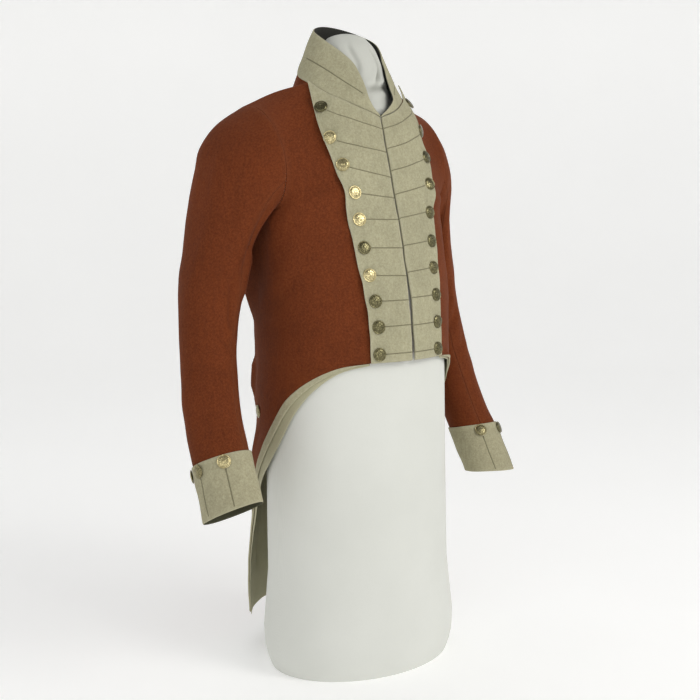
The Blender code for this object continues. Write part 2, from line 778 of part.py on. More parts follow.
def lapel_button_spots(points, normals, places):
    """Places beside the lapel's outer edge: point and direction, lowest first."""
    strip = points[:, : LAPEL_COLUMNS + 1]
    width = np.linalg.norm(np.diff(strip, axis=1), axis=2).sum(axis=1)
    row = np.arange(len(strip))
    for level, inset in places:
        column = LAPEL_COLUMNS * (1 - inset / width)
        low = column.astype(int)
        share = (column - low)[:, None]
        line = mix(strip[row, low], strip[row, low + 1], share)
        facing = mix(normals[row, low], normals[row, low + 1], share)
        at = np.interp(level, line[:, 2], row)
        k = min(int(at), len(row) - 2)
        axis = mix(facing[k], facing[k + 1], at - k)
        yield mix(line[k], line[k + 1], at - k), axis / np.linalg.norm(axis)


def lapel_places(side_name):
    """The side's columns of the lapel buttons' table."""
    first = 0 if side_name == "right" else 2
    return [row[first : first + 2] for row in LAPEL_BUTTONS]


def cuff_button_spots(turns, hang):
    """Places round the cuff, below its top edge."""
    top, end = sleeve(CUFF_TOP_ROW, 0.0, hang), sleeve(CUFF_END_ROW, 0.0, hang)
    row = CUFF_TOP_ROW + CUFF_BUTTON_DROP / np.linalg.norm(end - top)
    for turn in turns:
        point = sleeve(row, turn, hang)
        round_it = sleeve(row, turn + 1, hang) - sleeve(row, turn - 1, hang)
        along = sleeve(row + 0.01, turn, hang) - sleeve(row - 0.01, turn, hang)
        axis = np.cross(along, round_it)
        middle = (point + sleeve(row, turn + 180, hang)) / 2
        axis *= np.sign(axis @ (point - middle))
        yield point, axis / np.linalg.norm(axis)


def mirrored(points):
    return points * np.array([-1.0, 1.0, 1.0])


class FormMesh:
    """The display form: the coat's own skin moved in, closed at the arms, neck and base."""

    def __init__(self):
        self.index = {}
        self.points = []
        self.outward = []
        self.faces = []

    def place(self, point, normal=None):
        key = tuple(np.round(point * 2e4).astype(int))
        if key not in self.index:
            self.index[key] = len(self.points)
            self.points.append(np.array(point))
            self.outward.append(normal)
        return self.index[key]

    def new(self, point):
        self.points.append(np.array(point))
        return len(self.points) - 1

    def skin(self, points, normals, mask, side):
        turn = np.array([side, 1.0, 1.0])
        for i, j in zip(*np.nonzero(mask)):
            corners = ((i, j), (i, j + 1), (i + 1, j + 1), (i + 1, j))
            a, b, c, d = (self.place(points[at] * turn, normals[at] * turn) for at in corners)
            found = [(a, b, c), (a, c, d)]
            self.faces += [tuple(reversed(f)) for f in found] if side < 0 else found

    def bridge(self, low, high):
        count = len(low)
        for k in range(count):
            n = (k + 1) % count
            self.faces += [(low[k], low[n], high[n]), (low[k], high[n], high[k])]

    def fan(self, loop, centre, turned):
        middle = self.new(centre)
        for k in range(len(loop)):
            n = (k + 1) % len(loop)
            self.faces.append((middle, loop[n], loop[k]) if turned else (middle, loop[k], loop[n]))


def round_loop(left_half):
    """A closed loop from the points of its left half, centre front first and back last."""
    return list(left_half) + [mirrored(p) for p in left_half[-2:0:-1]]


def display_form(forepart, back, normals):
    """Column, body and neck, one closed smooth solid inside the coat."""
    form = FormMesh()
    fore, rear = forepart[SKIRT_ROWS:], back[SKIRT_ROWS:]
    for side in (1.0, -1.0):
        form.skin(fore, normals["forepart"][SKIRT_ROWS:], whole(fore), side)
        form.skin(rear, normals["back"][SKIRT_ROWS:], whole(rear), side)
    arm = LAPEL_COLUMNS + CHEST_COLUMNS
    chest = TORSO_ROWS
    waist = round_loop(np.concatenate([fore[0], rear[0, 1:]]))
    front_neck, back_neck = fore[-1, : LAPEL_COLUMNS + 1], rear[-1, SHOULDER_COLUMNS + 1 :]
    neck = round_loop(np.concatenate([front_neck, back_neck]))
    under_arm = fore[chest, arm + 1 : -1]
    arm_loop = np.concatenate([fore[chest:, arm], rear[chest:-1, 0][::-1], under_arm[::-1]])
    waist_index = [form.place(p) for p in waist]
    neck_index = [form.place(p) for p in neck]
    arm_index = {s: [form.place(p * np.array([s, 1, 1])) for p in arm_loop] for s in (1.0, -1.0)}
    skin_points = np.array(form.points)
    outward = np.array(form.outward)
    clearance = mix(FORM_CLEARANCE, FORM_REST, ease((outward[:, 2:] - 0.35) / 0.35))
    inward = outward * (CLOTH + clearance)
    for k, point in enumerate(skin_points):
        if abs(point[0]) < 1e-6:
            inward[k][0] = 0.0
        turn = math.radians(float(angle_of(point)))
        column = read(COLUMN, point[2])
        straight = np.array([column[1] * math.sin(turn), -column[2] * math.cos(turn), point[2]])
        low, high = FORM_MEETS_COAT
        blend = float(ease((point[2] - low) / (high - low)))
        form.points[k] = mix(straight, point - inward[k], blend)
    below = waist_index
    for height, half_width, half_depth in sorted(COLUMN[:-1], reverse=True):
        turns = np.radians([angle_of(p) for p in waist])
        ring = [form.new((half_width * math.sin(t), -half_depth * math.cos(t), height)) for t in turns]
        form.bridge(ring, below)
        below = ring
    form.fan(below, (0.0, 0.0, 0.0), True)
    neck_rings(form, neck_index)
    for side, loop in arm_index.items():
        middle = np.mean([form.points[k] for k in loop], axis=0)
        form.fan(loop, middle, side > 0)
    return np.array(form.points), form.faces


def neck_rings(form, loop):
    """From the neck seam a short step in, then up the neck to its rounded top."""
    start = np.array([form.points[k] for k in loop])
    centre = np.array([0.0, 0.010])
    toward = centre - start[:, :2]
    toward /= np.linalg.norm(toward, axis=1)[:, None]
    step = start.copy()
    step[:, :2] += toward * NECK_STEP
    below = loop
    ring = [form.new(p) for p in step]
    form.bridge(below, ring)
    below = ring
    top = NECK[-1][0]
    for share in (0.12, 0.35, 0.6, 0.8, 0.92, 1.0):
        ring = []
        for point in step:
            height = mix(point[2], top, share)
            row = read(NECK, height)
            turn = math.atan2(point[0], -(point[1] - row[3]))
            spot = np.array([row[1] * math.sin(turn), row[3] - row[2] * math.cos(turn), height])
            near = mix(point, spot, float(ease(share / 0.12)))
            near[2] = height
            ring.append(form.new(near))
        form.bridge(below, ring)
        below = ring
    form.fan(below, (0.0, NECK[-1][3], NECK_TOP), False)


def collar_grid():
    """Rows up from the neck seam, columns from the left front round the back to the right."""
    places = np.arange(len(COLLAR))
    rows = read(numbered(COLLAR), places)[:, 1:]
    half = [mix(rows[:, 0:3], rows[:, 3:6], t) for t in np.linspace(0, 1, COLLAR_ROWS + 1)]
    left = np.array(half)
    right = mirrored(left[:, -2::-1])
    return np.concatenate([left, right], axis=1)


def build():
    for old in list(bpy.data.objects):
        bpy.data.objects.remove(old)
    root = bpy.data.objects.new("coat_on_form", None)
    bpy.context.collection.objects.link(root)

    forepart, back, skirt = full_grids()
    pieces = {
        "forepart": forepart,
        "back": back,
        "skirt": skirt,
    }
    sleeve_rows = np.linspace(0, SLEEVE_END_ROW, SLEEVE_RINGS + 1)
    for side_name, hang in SLEEVE_HANG.items():
        pieces["sleeve " + side_name] = sleeve_grid(sleeve_rows, hang)
    masks = {name: whole(points) for name, points in pieces.items()}
    used = {name: used_places(mask) for name, mask in masks.items()}
    own = {
        name: grid_normals(points, masks[name], wrap=name.startswith("sleeve"))
        for name, points in pieces.items()
    }
    skin = Skin()
    shared_by = [name for name in pieces if name != "skirt"]
    for name in shared_by:
        skin.learn(name, pieces[name], own[name], used[name])
    normals = {
        name: skin.shared(name, pieces[name], own[name], used[name]) for name in shared_by
    }
    normals["skirt"] = own["skirt"]
    normals["skirt"][:, -1, 0] *= 0.0

    fore_rise = pleat_rise(forepart, -1)
    back_rise = pleat_rise(back, 0)
    fore_wall = wall(forepart, normals["forepart"], masks["forepart"], fore_rise - CLOTH, fore_rise)
    back_wall = wall(back, normals["back"], masks["back"], back_rise - CLOTH, back_rise)

    lapel_mask = masks["forepart"].copy()
    lapel_mask[:, LAPEL_COLUMNS:] = False
    lapel = wall(forepart, normals["forepart"], lapel_mask, GAP, GAP + FACING)

    turn_mask = masks["forepart"].copy()
    turn_mask[SKIRT_ROWS:] = False
    turn_mask[:, LAPEL_COLUMNS + 1 :] = False
    turnback = wall(forepart, normals["forepart"], turn_mask, GAP, GAP + LINING)

    under = -CLOTH - GAP
    lining = wall(skirt, normals["skirt"], masks["skirt"], under - LINING, under)

    cuff_rows = np.linspace(CUFF_TOP_ROW, CUFF_END_ROW, CUFF_RINGS + 1)
    arms = {}
    for side_name, hang in SLEEVE_HANG.items():
        name = "sleeve " + side_name
        cuff_points = sleeve_grid(cuff_rows, hang)
        cuff_mask = whole(cuff_points)
        cuff_normals = grid_normals(cuff_points, cuff_mask, wrap=True)
        cuff = wall(cuff_points, cuff_normals, cuff_mask, GAP, GAP + CLOTH, wrap=True)
        arms[side_name] = [*sleeve_walls(pieces[name], normals[name]), cuff]

    collar_points = collar_grid()
    collar_mask = whole(collar_points)
    collar_normals = grid_normals(collar_points, collar_mask)
    above_seam = collar_points + np.array([0.0, 0.0, 2 * GAP])
    collar = wall(above_seam, collar_normals, collar_mask, -FACING, 0.0)
    inside = -FACING - GAP
    shorter = above_seam.copy()
    shorter[0] = mix(above_seam[0], above_seam[1], 0.06)
    collar_lining = wall(shorter, collar_normals, collar_mask, inside - LINING, inside)

    for side_name, side in SIDES.items():
        add(f"front_{side_name}", *fore_wall, "red wool", root, side)
        add(f"back_{side_name}", *back_wall, "red wool", root, side)
        add(f"lapel_{side_name}", *lapel, "buff wool", root, side)
        add(f"turnback_{side_name}", *turnback, "buff wool", root, side)
        add(f"skirt_lining_{side_name}", *lining, "buff wool", root, side)
        top_sleeve, under_sleeve, cuff = arms[side_name]
        add(f"top_sleeve_{side_name}", *top_sleeve, "red wool", root, side)
        add(f"under_sleeve_{side_name}", *under_sleeve, "red wool", root, side)
        add(f"cuff_{side_name}", *cuff, "buff wool", root, side)
    add("collar", *collar, "buff wool", root)
    add("collar_lining", *collar_lining, "dark lining", root)
    add("display_form", *display_form(forepart, back, normals), "form", root)

    shape, faces = button_shape()
    hip = body(float(read(PLEAT, HIP_BUTTON_LEVEL)[1]) - 4.0, HIP_BUTTON_LEVEL)
    hip_axis = hip * np.array([1.0, 1.0, 0.0])
    hip_axis /= np.linalg.norm(hip_axis)
    strip, strip_normals = forepart[SKIRT_ROWS:], normals["forepart"][SKIRT_ROWS:]
    for side_name, side in SIDES.items():
        lapel_spots = lapel_button_spots(strip, strip_normals, lapel_places(side_name))
        cuff_spots = cuff_button_spots(CUFF_BUTTON_TURNS[side_name], SLEEVE_HANG[side_name])
        for k, (point, axis) in enumerate(lapel_spots, start=1):
            button = turned_to(shape, axis, seat(lapel, point, axis))
            add(f"lapel_button_{side_name}_{k:02d}", button, faces, "brass", root, side)
        for k, (point, axis) in enumerate(cuff_spots, start=1):
            button = turned_to(shape, axis, seat(arms[side_name][2], point, axis))
            add(f"cuff_button_{side_name}_{k}", button, faces, "brass", root, side)
        button = turned_to(shape, hip_axis, seat(fore_wall, hip, hip_axis))
        add(f"hip_button_{side_name}", button, faces, "brass", root, side)
    centre_on_floor(root)


def centre_on_floor(root):
    """The origin is the middle of the whole part's box, on the floor."""
    corners = np.array([v.co for piece in root.children for v in piece.data.vertices])
    low, high = corners.min(axis=0), corners.max(axis=0)
    root.location = (-(low[0] + high[0]) / 2, -(low[1] + high[1]) / 2, -low[2])


build()
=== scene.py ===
"""The looks of a uniform tailcoat on its display form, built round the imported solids.

The tables and the functions that read them are the ones that the solids are made from, so
every piece here has its solid's form. It is read more finely, and gets its creases, rounded
edges, worked lines, struck buttons and cloth.
"""

import itertools
import math

import bpy
import numpy as np
from mathutils import Matrix, Vector
from mathutils.kdtree import KDTree


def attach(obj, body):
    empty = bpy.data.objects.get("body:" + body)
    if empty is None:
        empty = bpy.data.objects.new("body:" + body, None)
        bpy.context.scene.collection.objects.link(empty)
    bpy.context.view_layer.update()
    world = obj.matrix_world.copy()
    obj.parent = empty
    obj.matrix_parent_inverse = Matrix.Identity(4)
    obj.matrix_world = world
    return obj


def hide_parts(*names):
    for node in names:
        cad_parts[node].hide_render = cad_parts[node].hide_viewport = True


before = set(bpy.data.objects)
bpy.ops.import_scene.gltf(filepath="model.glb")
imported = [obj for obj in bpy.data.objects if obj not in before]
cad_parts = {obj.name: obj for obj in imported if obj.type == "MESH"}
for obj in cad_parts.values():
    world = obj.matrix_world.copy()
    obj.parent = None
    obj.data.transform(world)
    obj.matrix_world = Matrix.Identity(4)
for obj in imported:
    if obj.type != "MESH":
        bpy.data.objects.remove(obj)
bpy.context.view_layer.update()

# The tables count from the middle of the form's column, and the frame from the whole box
PLACE = np.array([0.002750, -0.035346, 0.0])

# Cloth and seams
CLOTH = 0.0020
FACING = 0.0018
LINING = 0.0012
GAP = 0.0003

# Levels
HEM_LEVEL = 0.480
TAIL_LEVEL = 0.050
FRONT_CHEST_LEVEL = 0.705
FRONT_NECK_LEVEL = 0.838
LAPEL_CHEST_LEVEL = 0.702
SIDE_CHEST_LEVEL = 0.700
BACK_CHEST_LEVEL = 0.775
NAPE_LEVEL = 0.912
VENT_LEVEL = 0.395
VENT_SPREAD = 0.005

# Angles round the body, in degrees from the centre front
SIDE_ANGLE = 98.0
SEAM_WAIST_ANGLE = 119.0
SEAM_CHEST_ANGLE = 122.0
SEAM_ARMHOLE_TURN = 255.0

# Columns and rows of the skin
LAPEL_COLUMNS = 6
CHEST_COLUMNS = 5
SIDE_COLUMNS = 3
NECK_COLUMNS = 4
SHOULDER_COLUMNS = CHEST_COLUMNS
SKIRT_ROWS = 12
TORSO_ROWS = 6
UPPER_ROWS = 8
COLLAR_ROWS = 4

# Hip pleat: how far its fold stands out, its reach, and its hollow's depth, middle and levels
PLEAT_RISE = 0.0030
PLEAT_WIDTH = 0.016
PLEAT_SINK = 0.0055
HOLLOW_ANGLE = 124.0
HOLLOW_REACH = 20.0
HOLLOW_TOP = (0.401, 0.014)
HOLLOW_END = (0.385, 0.075)
PLEAT_TOP = 0.387
PLEAT_STARTS = 0.030

# Buttons
HIP_BUTTON_LEVEL = 0.399
HIP_BUTTON_ASIDE = 4.0
BUTTON_RADIUS = 0.0100
BUTTON_DOME = 0.0030
CUFF_BUTTON_TURNS = {"right": (59.0, 4.0, -43.0, -103.0), "left": (119.0, 53.0, -6.0, -64.0)}
CUFF_BUTTON_DROP = 0.012

# Sleeves
SLEEVE_RINGS = 16
SLEEVE_FRONT_SEAM_TURN = 112.5
SLEEVE_END_ROW = 11.85
CUFF_RINGS = 3

SIDES = {"right": -1.0, "left": 1.0}

# Less than any place or coordinate counts, and further off than any point, in metres
TINY = 1e-6
FAR = 9.0

# Sections of the coat's body: height, half width, front depth, back depth
BODY = (
    (0.046, 0.163, 0.138, 0.204),
    (0.105, 0.163, 0.138, 0.202),
    (0.155, 0.162, 0.138, 0.196),
    (0.214, 0.159, 0.137, 0.184),
    (0.305, 0.160, 0.136, 0.174),
    (0.390, 0.160, 0.134, 0.163),
    (0.480, 0.158, 0.1310, 0.156),
    (0.520, 0.158, 0.1295, 0.153),
    (0.570, 0.159, 0.1245, 0.155),
    (0.620, 0.160, 0.1155, 0.155),
    (0.680, 0.159, 0.1040, 0.153),
    (0.740, 0.158, 0.0893, 0.148),
    (0.795, 0.158, 0.0757, 0.138),
    (0.838, 0.158, 0.0650, 0.120),
    (0.880, 0.155, 0.0560, 0.098),
    (0.912, 0.150, 0.0470, 0.0700),
)

# Lapel's outer edge: height, distance from the centre line, forward reach above the chest
LAPEL_EDGE = (
    (0.480, 0.0712, 0.0000),
    (0.520, 0.0718, 0.0000),
    (0.570, 0.0745, 0.0000),
    (0.630, 0.0805, 0.0000),
    (0.680, 0.0845, 0.0000),
    (0.702, 0.0870, 0.0870),
    (0.734, 0.0914, 0.0795),
    (0.770, 0.0955, 0.0675),
    (0.812, 0.0990, 0.0455),
    (0.850, 0.0975, 0.0285),
    (0.890, 0.0850, 0.0000),
)

# The height over which its edge comes free of the body: start and length
LAPEL_FREE = (0.690, 0.035)

# Neck seam and collar edge, front to nape: seam x, y, z, then edge x, y, z
COLLAR = (
    (0.0000, -0.0650, 0.8380, 0.0025, -0.0655, 0.8425),
    (0.0220, -0.0655, 0.8450, 0.0150, -0.0680, 0.8525),
    (0.0380, -0.0595, 0.8515, 0.0236, -0.0685, 0.8640),
    (0.0550, -0.0500, 0.8600, 0.0240, -0.0610, 0.8810),
    (0.0680, -0.0400, 0.8670, 0.0256, -0.0520, 0.8985),
    (0.0790, -0.0220, 0.8780, 0.0300, -0.0410, 0.9180),
    (0.0850, 0.0000, 0.8900, 0.0400, -0.0240, 0.9360),
    (0.0835, 0.0235, 0.9000, 0.0510, 0.0000, 0.9540),
    (0.0705, 0.0440, 0.9090, 0.0490, 0.0275, 0.9695),
    (0.0415, 0.0635, 0.9120, 0.0285, 0.0515, 0.9800),
    (0.0000, 0.0700, 0.9120, 0.0000, 0.0600, 0.9840),
)

# Shoulder seam from the neck to the sleeve head: x, y, z
SHOULDER = (
    (0.0850, 0.0000, 0.8900),
    (0.1150, 0.0250, 0.8800),
    (0.1400, 0.0390, 0.8690),
    (0.1620, 0.0470, 0.8570),
)

# Red edge of the cut-away: height, angle, width of the turnback, lining that shows past it
CUTAWAY = (
    (0.4800, 27.0, 0.0025, 0.0010),
    (0.4735, 46.0, 0.0050, 0.0030),
    (0.4575, 61.0, 0.0080, 0.0070),
    (0.4380, 73.0, 0.0110, 0.0110),
    (0.4160, 82.5, 0.0125, 0.0145),
    (0.3880, 91.5, 0.0130, 0.0165),
    (0.3480, 103.0, 0.0130, 0.0155),
    (0.3030, 114.0, 0.0120, 0.0120),
    (0.2380, 125.0, 0.0110, 0.0090),
    (0.1580, 134.0, 0.0105, 0.0065),
    (0.1000, 139.0, 0.0100, 0.0050),
    (0.0500, 144.0, 0.0100, 0.0050),
)

# Pleat line of the skirt: height, angle
PLEAT = (
    (0.480, 119.0),
    (0.384, 114.5),
    (0.305, 126.0),
    (0.214, 141.0),
    (0.105, 154.0),
    (0.050, 161.0),
)

# Lapel buttons, lowest first: height, inset from the lapel's edge
LAPEL_BUTTONS = {
    "right": (
        (0.4925, 0.0140), (0.5325, 0.0152), (0.5697, 0.0156), (0.6070, 0.0145), (0.6469, 0.0157),
        (0.6880, 0.0190), (0.7263, 0.0178), (0.7664, 0.0164), (0.8059, 0.0152), (0.8499, 0.0150),
    ),
    "left": (
        (0.4922, 0.0160), (0.5322, 0.0140), (0.5728, 0.0156), (0.6131, 0.0180), (0.6532, 0.0175),
        (0.6965, 0.0145), (0.7388, 0.0165), (0.7800, 0.0200), (0.8205, 0.0230), (0.8625, 0.0145),
    ),
}

# Sleeve rings from the armhole down: outer x, y, z, inner x, y, z, reach forward, reach
# backward, and how much the front of the ring hangs below its back
SLEEVE = (
    (0.1620, 0.0470, 0.8570, 0.1560, 0.0220, 0.7000, 0.0740, 0.0600, 0.004),
    (0.1905, 0.0560, 0.8365, 0.1610, 0.0250, 0.6950, 0.0750, 0.0610, 0.005),
    (0.2175, 0.0620, 0.8085, 0.1650, 0.0320, 0.6860, 0.0740, 0.0620, 0.006),
    (0.2305, 0.0650, 0.7640, 0.1690, 0.0430, 0.6710, 0.0700, 0.0620, 0.006),
    (0.2435, 0.0665, 0.7050, 0.1720, 0.0560, 0.6500, 0.0650, 0.0610, 0.005),
    (0.2545, 0.0665, 0.6480, 0.1750, 0.0640, 0.6190, 0.0600, 0.0580, 0.004),
    (0.2662, 0.0645, 0.6000, 0.1780, 0.0635, 0.5860, 0.0525, 0.0525, 0.002),
    (0.2735, 0.0610, 0.5530, 0.1870, 0.0600, 0.5450, 0.0460, 0.0460, 0.000),
    (0.2790, 0.0535, 0.5100, 0.1970, 0.0525, 0.5040, 0.0430, 0.0430, -0.004),
    (0.2860, 0.0430, 0.4640, 0.2035, 0.0430, 0.4620, 0.0415, 0.0415, -0.008),
    (0.2945, 0.0240, 0.4030, 0.2125, 0.0240, 0.4050, 0.0410, 0.0410, -0.012),
    (0.3000, -0.0050, 0.3430, 0.2180, -0.0030, 0.3440, 0.0400, 0.0400, -0.018),
    (0.3055, -0.0410, 0.2680, 0.2235, -0.0385, 0.2740, 0.0405, 0.0405, -0.020),
)
CUFF_TOP_ROW = 11
CUFF_END_ROW = 12

# How each sleeve hangs: shift of its outer line, shift of its forward reach, rise at its end,
# and how much the front of the cuff drops and its back rises
SLEEVE_HANG = {"right": (0.0, 0.0, 0.0065, 0.0), "left": (-0.0055, -0.0050, -0.0105, 0.0155)}
STRAIGHT = (0.0, 0.0, 0.0, 0.0)

# Display form: height, half width, half depth of its column
COLUMN = (
    (0.000, 0.1530, 0.1190),
    (0.006, 0.1555, 0.1215),
    (0.150, 0.1550, 0.1215),
    (0.330, 0.1535, 0.1205),
    (0.480, 0.1530, 0.1205),
)

# Neck of the form: height, half width, half depth, centre
NECK = (
    (0.836, 0.0640, 0.0640, 0.0020),
    (0.870, 0.0600, 0.0600, 0.0040),
    (0.905, 0.0550, 0.0535, 0.0065),
    (0.930, 0.0510, 0.0480, 0.0085),
    (0.948, 0.0440, 0.0410, 0.0105),
    (0.961, 0.0320, 0.0300, 0.0120),
)
NECK_TOP = 0.968
FORM_CLEARANCE = 0.0030
FORM_REST = 0.0006
FORM_UPWARD = 0.35
NECK_STEP = 0.0070
FORM_MEETS_COAT = (0.480, 0.575)

# Shares of a grid's step where extra lines lie beside an edge
EDGE_STEPS = (0.035, 0.09, 0.18)

# Lines of a fine grid to each of the coarse one's, along its rows and columns
BODY_FINENESS = 6
SLEEVE_FINENESS = (6, 5)
CUFF_FINENESS = (12, 5)
COLLAR_FINENESS = 8

# Beside the hem's corner normals are taken from the cloth above: first row, last row, columns
SQUEEZED = (-1.4, 0.3, 2.3)

# Walls: reach of their rounded edge, the share of the wall that it takes, reach of the rubbing
EDGE_SOFT = 0.0014
THICK_SOFT = 0.0017
COLLAR_SOFT = 0.0018
EDGE_SHARE = 0.46
RUBBED = 0.0035

# Uneven waves: height, size across, seed. The cuff's also lies a little further out
CLOTH_WAVES = ((0.0011, 0.115, 5), (0.0003, 0.034, 9))
LAPEL_WAVE = (1.0, 0.03, 3)
CUFF_WAVE = (0.0008, 0.040, 21)
CUFF_OUT = 0.0004
COLLAR_WAVE = (0.0011, 0.05, 31)

# Swell beside a crease: share of its depth, then place and reach in its widths
SWELL = (0.34, 2.1, 1.1)
CREASE_ENDS = (3.2, 0.10)

# Creases fade out beside the armhole seam and the centre lines, and under the cuff
SEAM_FADE = 0.022
CENTRE_FADE = 0.004
CUFF_FADE = (14.4, 0.8)

# How far the front edges stand apart: everywhere, at the waist, toward the hem, and unevenly
FRONT_OPEN = 0.0010
WAIST_OPEN = (0.0017, 0.566, 0.030)
HEM_OPEN = (0.0013, 0.55, 0.05)
FRONT_SWAY = (0.0005, 92.0, {"right": 0.0, "left": 2.1})
FRONT_REACH = 0.010

# Lift of the lapel's outer edge and of its upper corner, and how far each reaches
LAPEL_LIFT = {"right": 0.0031, "left": 0.0010}
LAPEL_TIP = {"right": 0.0010, "left": 0.0070}
LIFT_REACH = 0.011
TIP_REACH = 0.026

# Where facings wrap the cloth's edge: reach and softness, and the strip's least width
LAPEL_WRAP = (0.0022, 0.0008)
TURNBACK_WRAP = (0.0016, 0.0008)
TURNBACK_LEAST = 0.003

# Columns of the lining past the cut edge, in shares of what shows of it
LINING_SHARES = (0.0, 0.08, 0.2, 0.4, 0.6, 0.8)

# Collar: bulge, how far the lining stands above it on the wearer's left and behind, and the
# share of its height from which it does
COLLAR_BULGE = 0.0012
LINING_SHOWS = 0.0011
LINING_FROM = 0.85

# Worked lines: width, growth and reach of the eyelet, height of the stitches. Then a stitch's
# length, how much it dips and narrows between two, and how the line is stepped and sunk, clears
# the button and starts beside it
LAPEL_LINE = (0.0017, 1.1, 0.0034, 0.0005)
OTHER_LINE = (0.0019, 0.9, 0.0032, 0.00055)
STITCH = 0.0011
STITCH_DIP = 0.28
STITCH_WAIST = 0.06
LINE_STEP = 0.00055
LINE_DEPTH = 0.0004
LINE_CLEAR = 0.0012
LINE_START = 0.0002
CUFF_LINE_ROWS = (11.28, 11.97)
CUFF_EYELET = 0.35

# How far each worked line drops on its way to the front edge, from the hem up
LINE_DROPS = {
    "right": (0.0, 0.0, 0.0015, 0.0040, 0.0035, 0.0038, 0.0040, 0.0040, -0.0040, -0.0060),
    "left": (0.0, 0.0010, 0.0020, 0.0055, 0.0070, 0.0110, 0.0085, 0.0060, 0.0040, 0.0),
}

# Creases of each part: side, depth, width, and guide points along it. On the body they are
# (angle from the front, height), on the sleeve (row of its table, turn round it)
CREASES = {
    "body": (
        ("both", 0.0016, 0.009, ((72, 0.770), (76, 0.720), (86, 0.672))),
        ("both", 0.0014, 0.011, ((60, 0.735), (68, 0.690), (80, 0.650), (92, 0.620))),
        ("right", 0.0015, 0.010, ((52, 0.655), (66, 0.610), (84, 0.575), (104, 0.556))),
        ("left", 0.0013, 0.011, ((48, 0.640), (64, 0.600), (82, 0.572), (101, 0.560))),
        ("right", 0.0010, 0.008, ((58, 0.560), (78, 0.538), (98, 0.530))),
        ("left", 0.0011, 0.008, ((54, 0.548), (74, 0.530), (95, 0.520))),
        ("right", -0.0009, 0.016, ((44, 0.700), (50, 0.620), (58, 0.540))),
        ("left", -0.0010, 0.015, ((42, 0.690), (49, 0.615), (60, 0.535))),
        ("both", 0.0014, 0.009, ((126, 0.760), (134, 0.715), (150, 0.690))),
        ("right", 0.0013, 0.010, ((122, 0.620), (138, 0.590), (158, 0.583))),
        ("left", 0.0012, 0.011, ((123, 0.632), (140, 0.604), (161, 0.590))),
        ("right", 0.0011, 0.008, ((121, 0.540), (139, 0.522), (160, 0.526))),
        ("left", 0.0010, 0.009, ((122, 0.550), (142, 0.536), (164, 0.532))),
        ("both", -0.0010, 0.018, ((150, 0.840), (160, 0.780), (166, 0.700))),
        ("right", -0.0014, 0.013, ((128, 0.360), (138, 0.270), (148, 0.150))),
        ("left", -0.0013, 0.014, ((130, 0.350), (141, 0.250), (151, 0.130))),
        ("right", 0.0012, 0.012, ((150, 0.330), (158, 0.230), (166, 0.110))),
        ("left", 0.0013, 0.011, ((148, 0.340), (157, 0.220), (167, 0.090))),
        ("left", -0.0022, 0.007, ((34, 0.482), (40, 0.478), (48, 0.470))),
        ("right", -0.0100, 0.020, ((112, 0.690), (119, 0.630), (123, 0.592), (125, 0.535))),
        ("left", -0.0085, 0.021, ((110, 0.695), (117, 0.634), (122, 0.598), (126, 0.545))),
        ("right", -0.0050, 0.010, ((124, 0.482), (126, 0.450), (127, 0.416))),
        ("left", -0.0045, 0.011, ((125, 0.486), (127, 0.455), (128, 0.420))),
        ("right", -0.0015, 0.009, ((60, 0.462), (74, 0.440), (86, 0.405))),
        ("right", -0.0060, 0.011, ((157, 0.290), (156, 0.220), (154, 0.160), (152, 0.105))),
        ("left", -0.0055, 0.012, ((154, 0.300), (155, 0.225), (153, 0.160), (150, 0.108))),
    ),
    "sleeve": (
        ("both", 0.0034, 0.007, ((1.6, 118), (3.0, 122), (4.6, 116), (5.8, 108))),
        ("right", 0.0045, 0.006, ((5.5, 88), (6.5, 96), (7.6, 106))),
        ("right", -0.0055, 0.014, ((4.3, 130), (5.3, 134), (6.5, 130))),
        ("left", 0.0030, 0.006, ((5.9, 84), (6.8, 94), (7.6, 112))),
        ("right", 0.0030, 0.007, ((7.3, 60), (7.9, 92), (8.2, 130))),
        ("left", 0.0032, 0.007, ((7.1, 66), (7.7, 96), (8.1, 128))),
        ("right", 0.0022, 0.007, ((8.5, 48), (8.9, 84), (9.0, 118))),
        ("left", 0.0024, 0.007, ((8.3, 54), (8.7, 82), (8.9, 122))),
        ("both", 0.0020, 0.008, ((6.6, 212), (7.5, 188), (8.4, 158))),
        ("right", -0.0013, 0.013, ((1.4, 18), (3.4, 26), (5.8, 20), (7.4, 8))),
        ("left", -0.0012, 0.013, ((1.5, 24), (3.6, 34), (6.0, 26), (7.6, 12))),
        ("right", 0.0012, 0.011, ((2.2, 52), (4.2, 58), (6.2, 50))),
        ("left", 0.0013, 0.011, ((2.0, 60), (4.0, 66), (6.0, 58))),
        ("right", -0.0011, 0.014, ((8.6, -4), (9.8, -8), (11.2, -20))),
        ("left", -0.0011, 0.014, ((8.4, 6), (9.9, 4), (11.2, -10))),
        ("right", 0.0012, 0.011, ((9.4, 30), (10.3, 36), (11.2, 28))),
        ("left", 0.0012, 0.011, ((9.3, 40), (10.3, 46), (11.1, 40))),
        ("both", 0.0018, 0.010, ((1.5, 236), (3.0, 244), (4.8, 240))),
        ("right", 0.0016, 0.009, ((5.2, 284), (6.6, 300), (7.8, 322))),
        ("left", 0.0017, 0.009, ((5.4, 280), (6.8, 298), (8.0, 318))),
        ("both", 0.0015, 0.010, ((8.4, 262), (9.6, 268), (10.9, 258))),
    ),
}

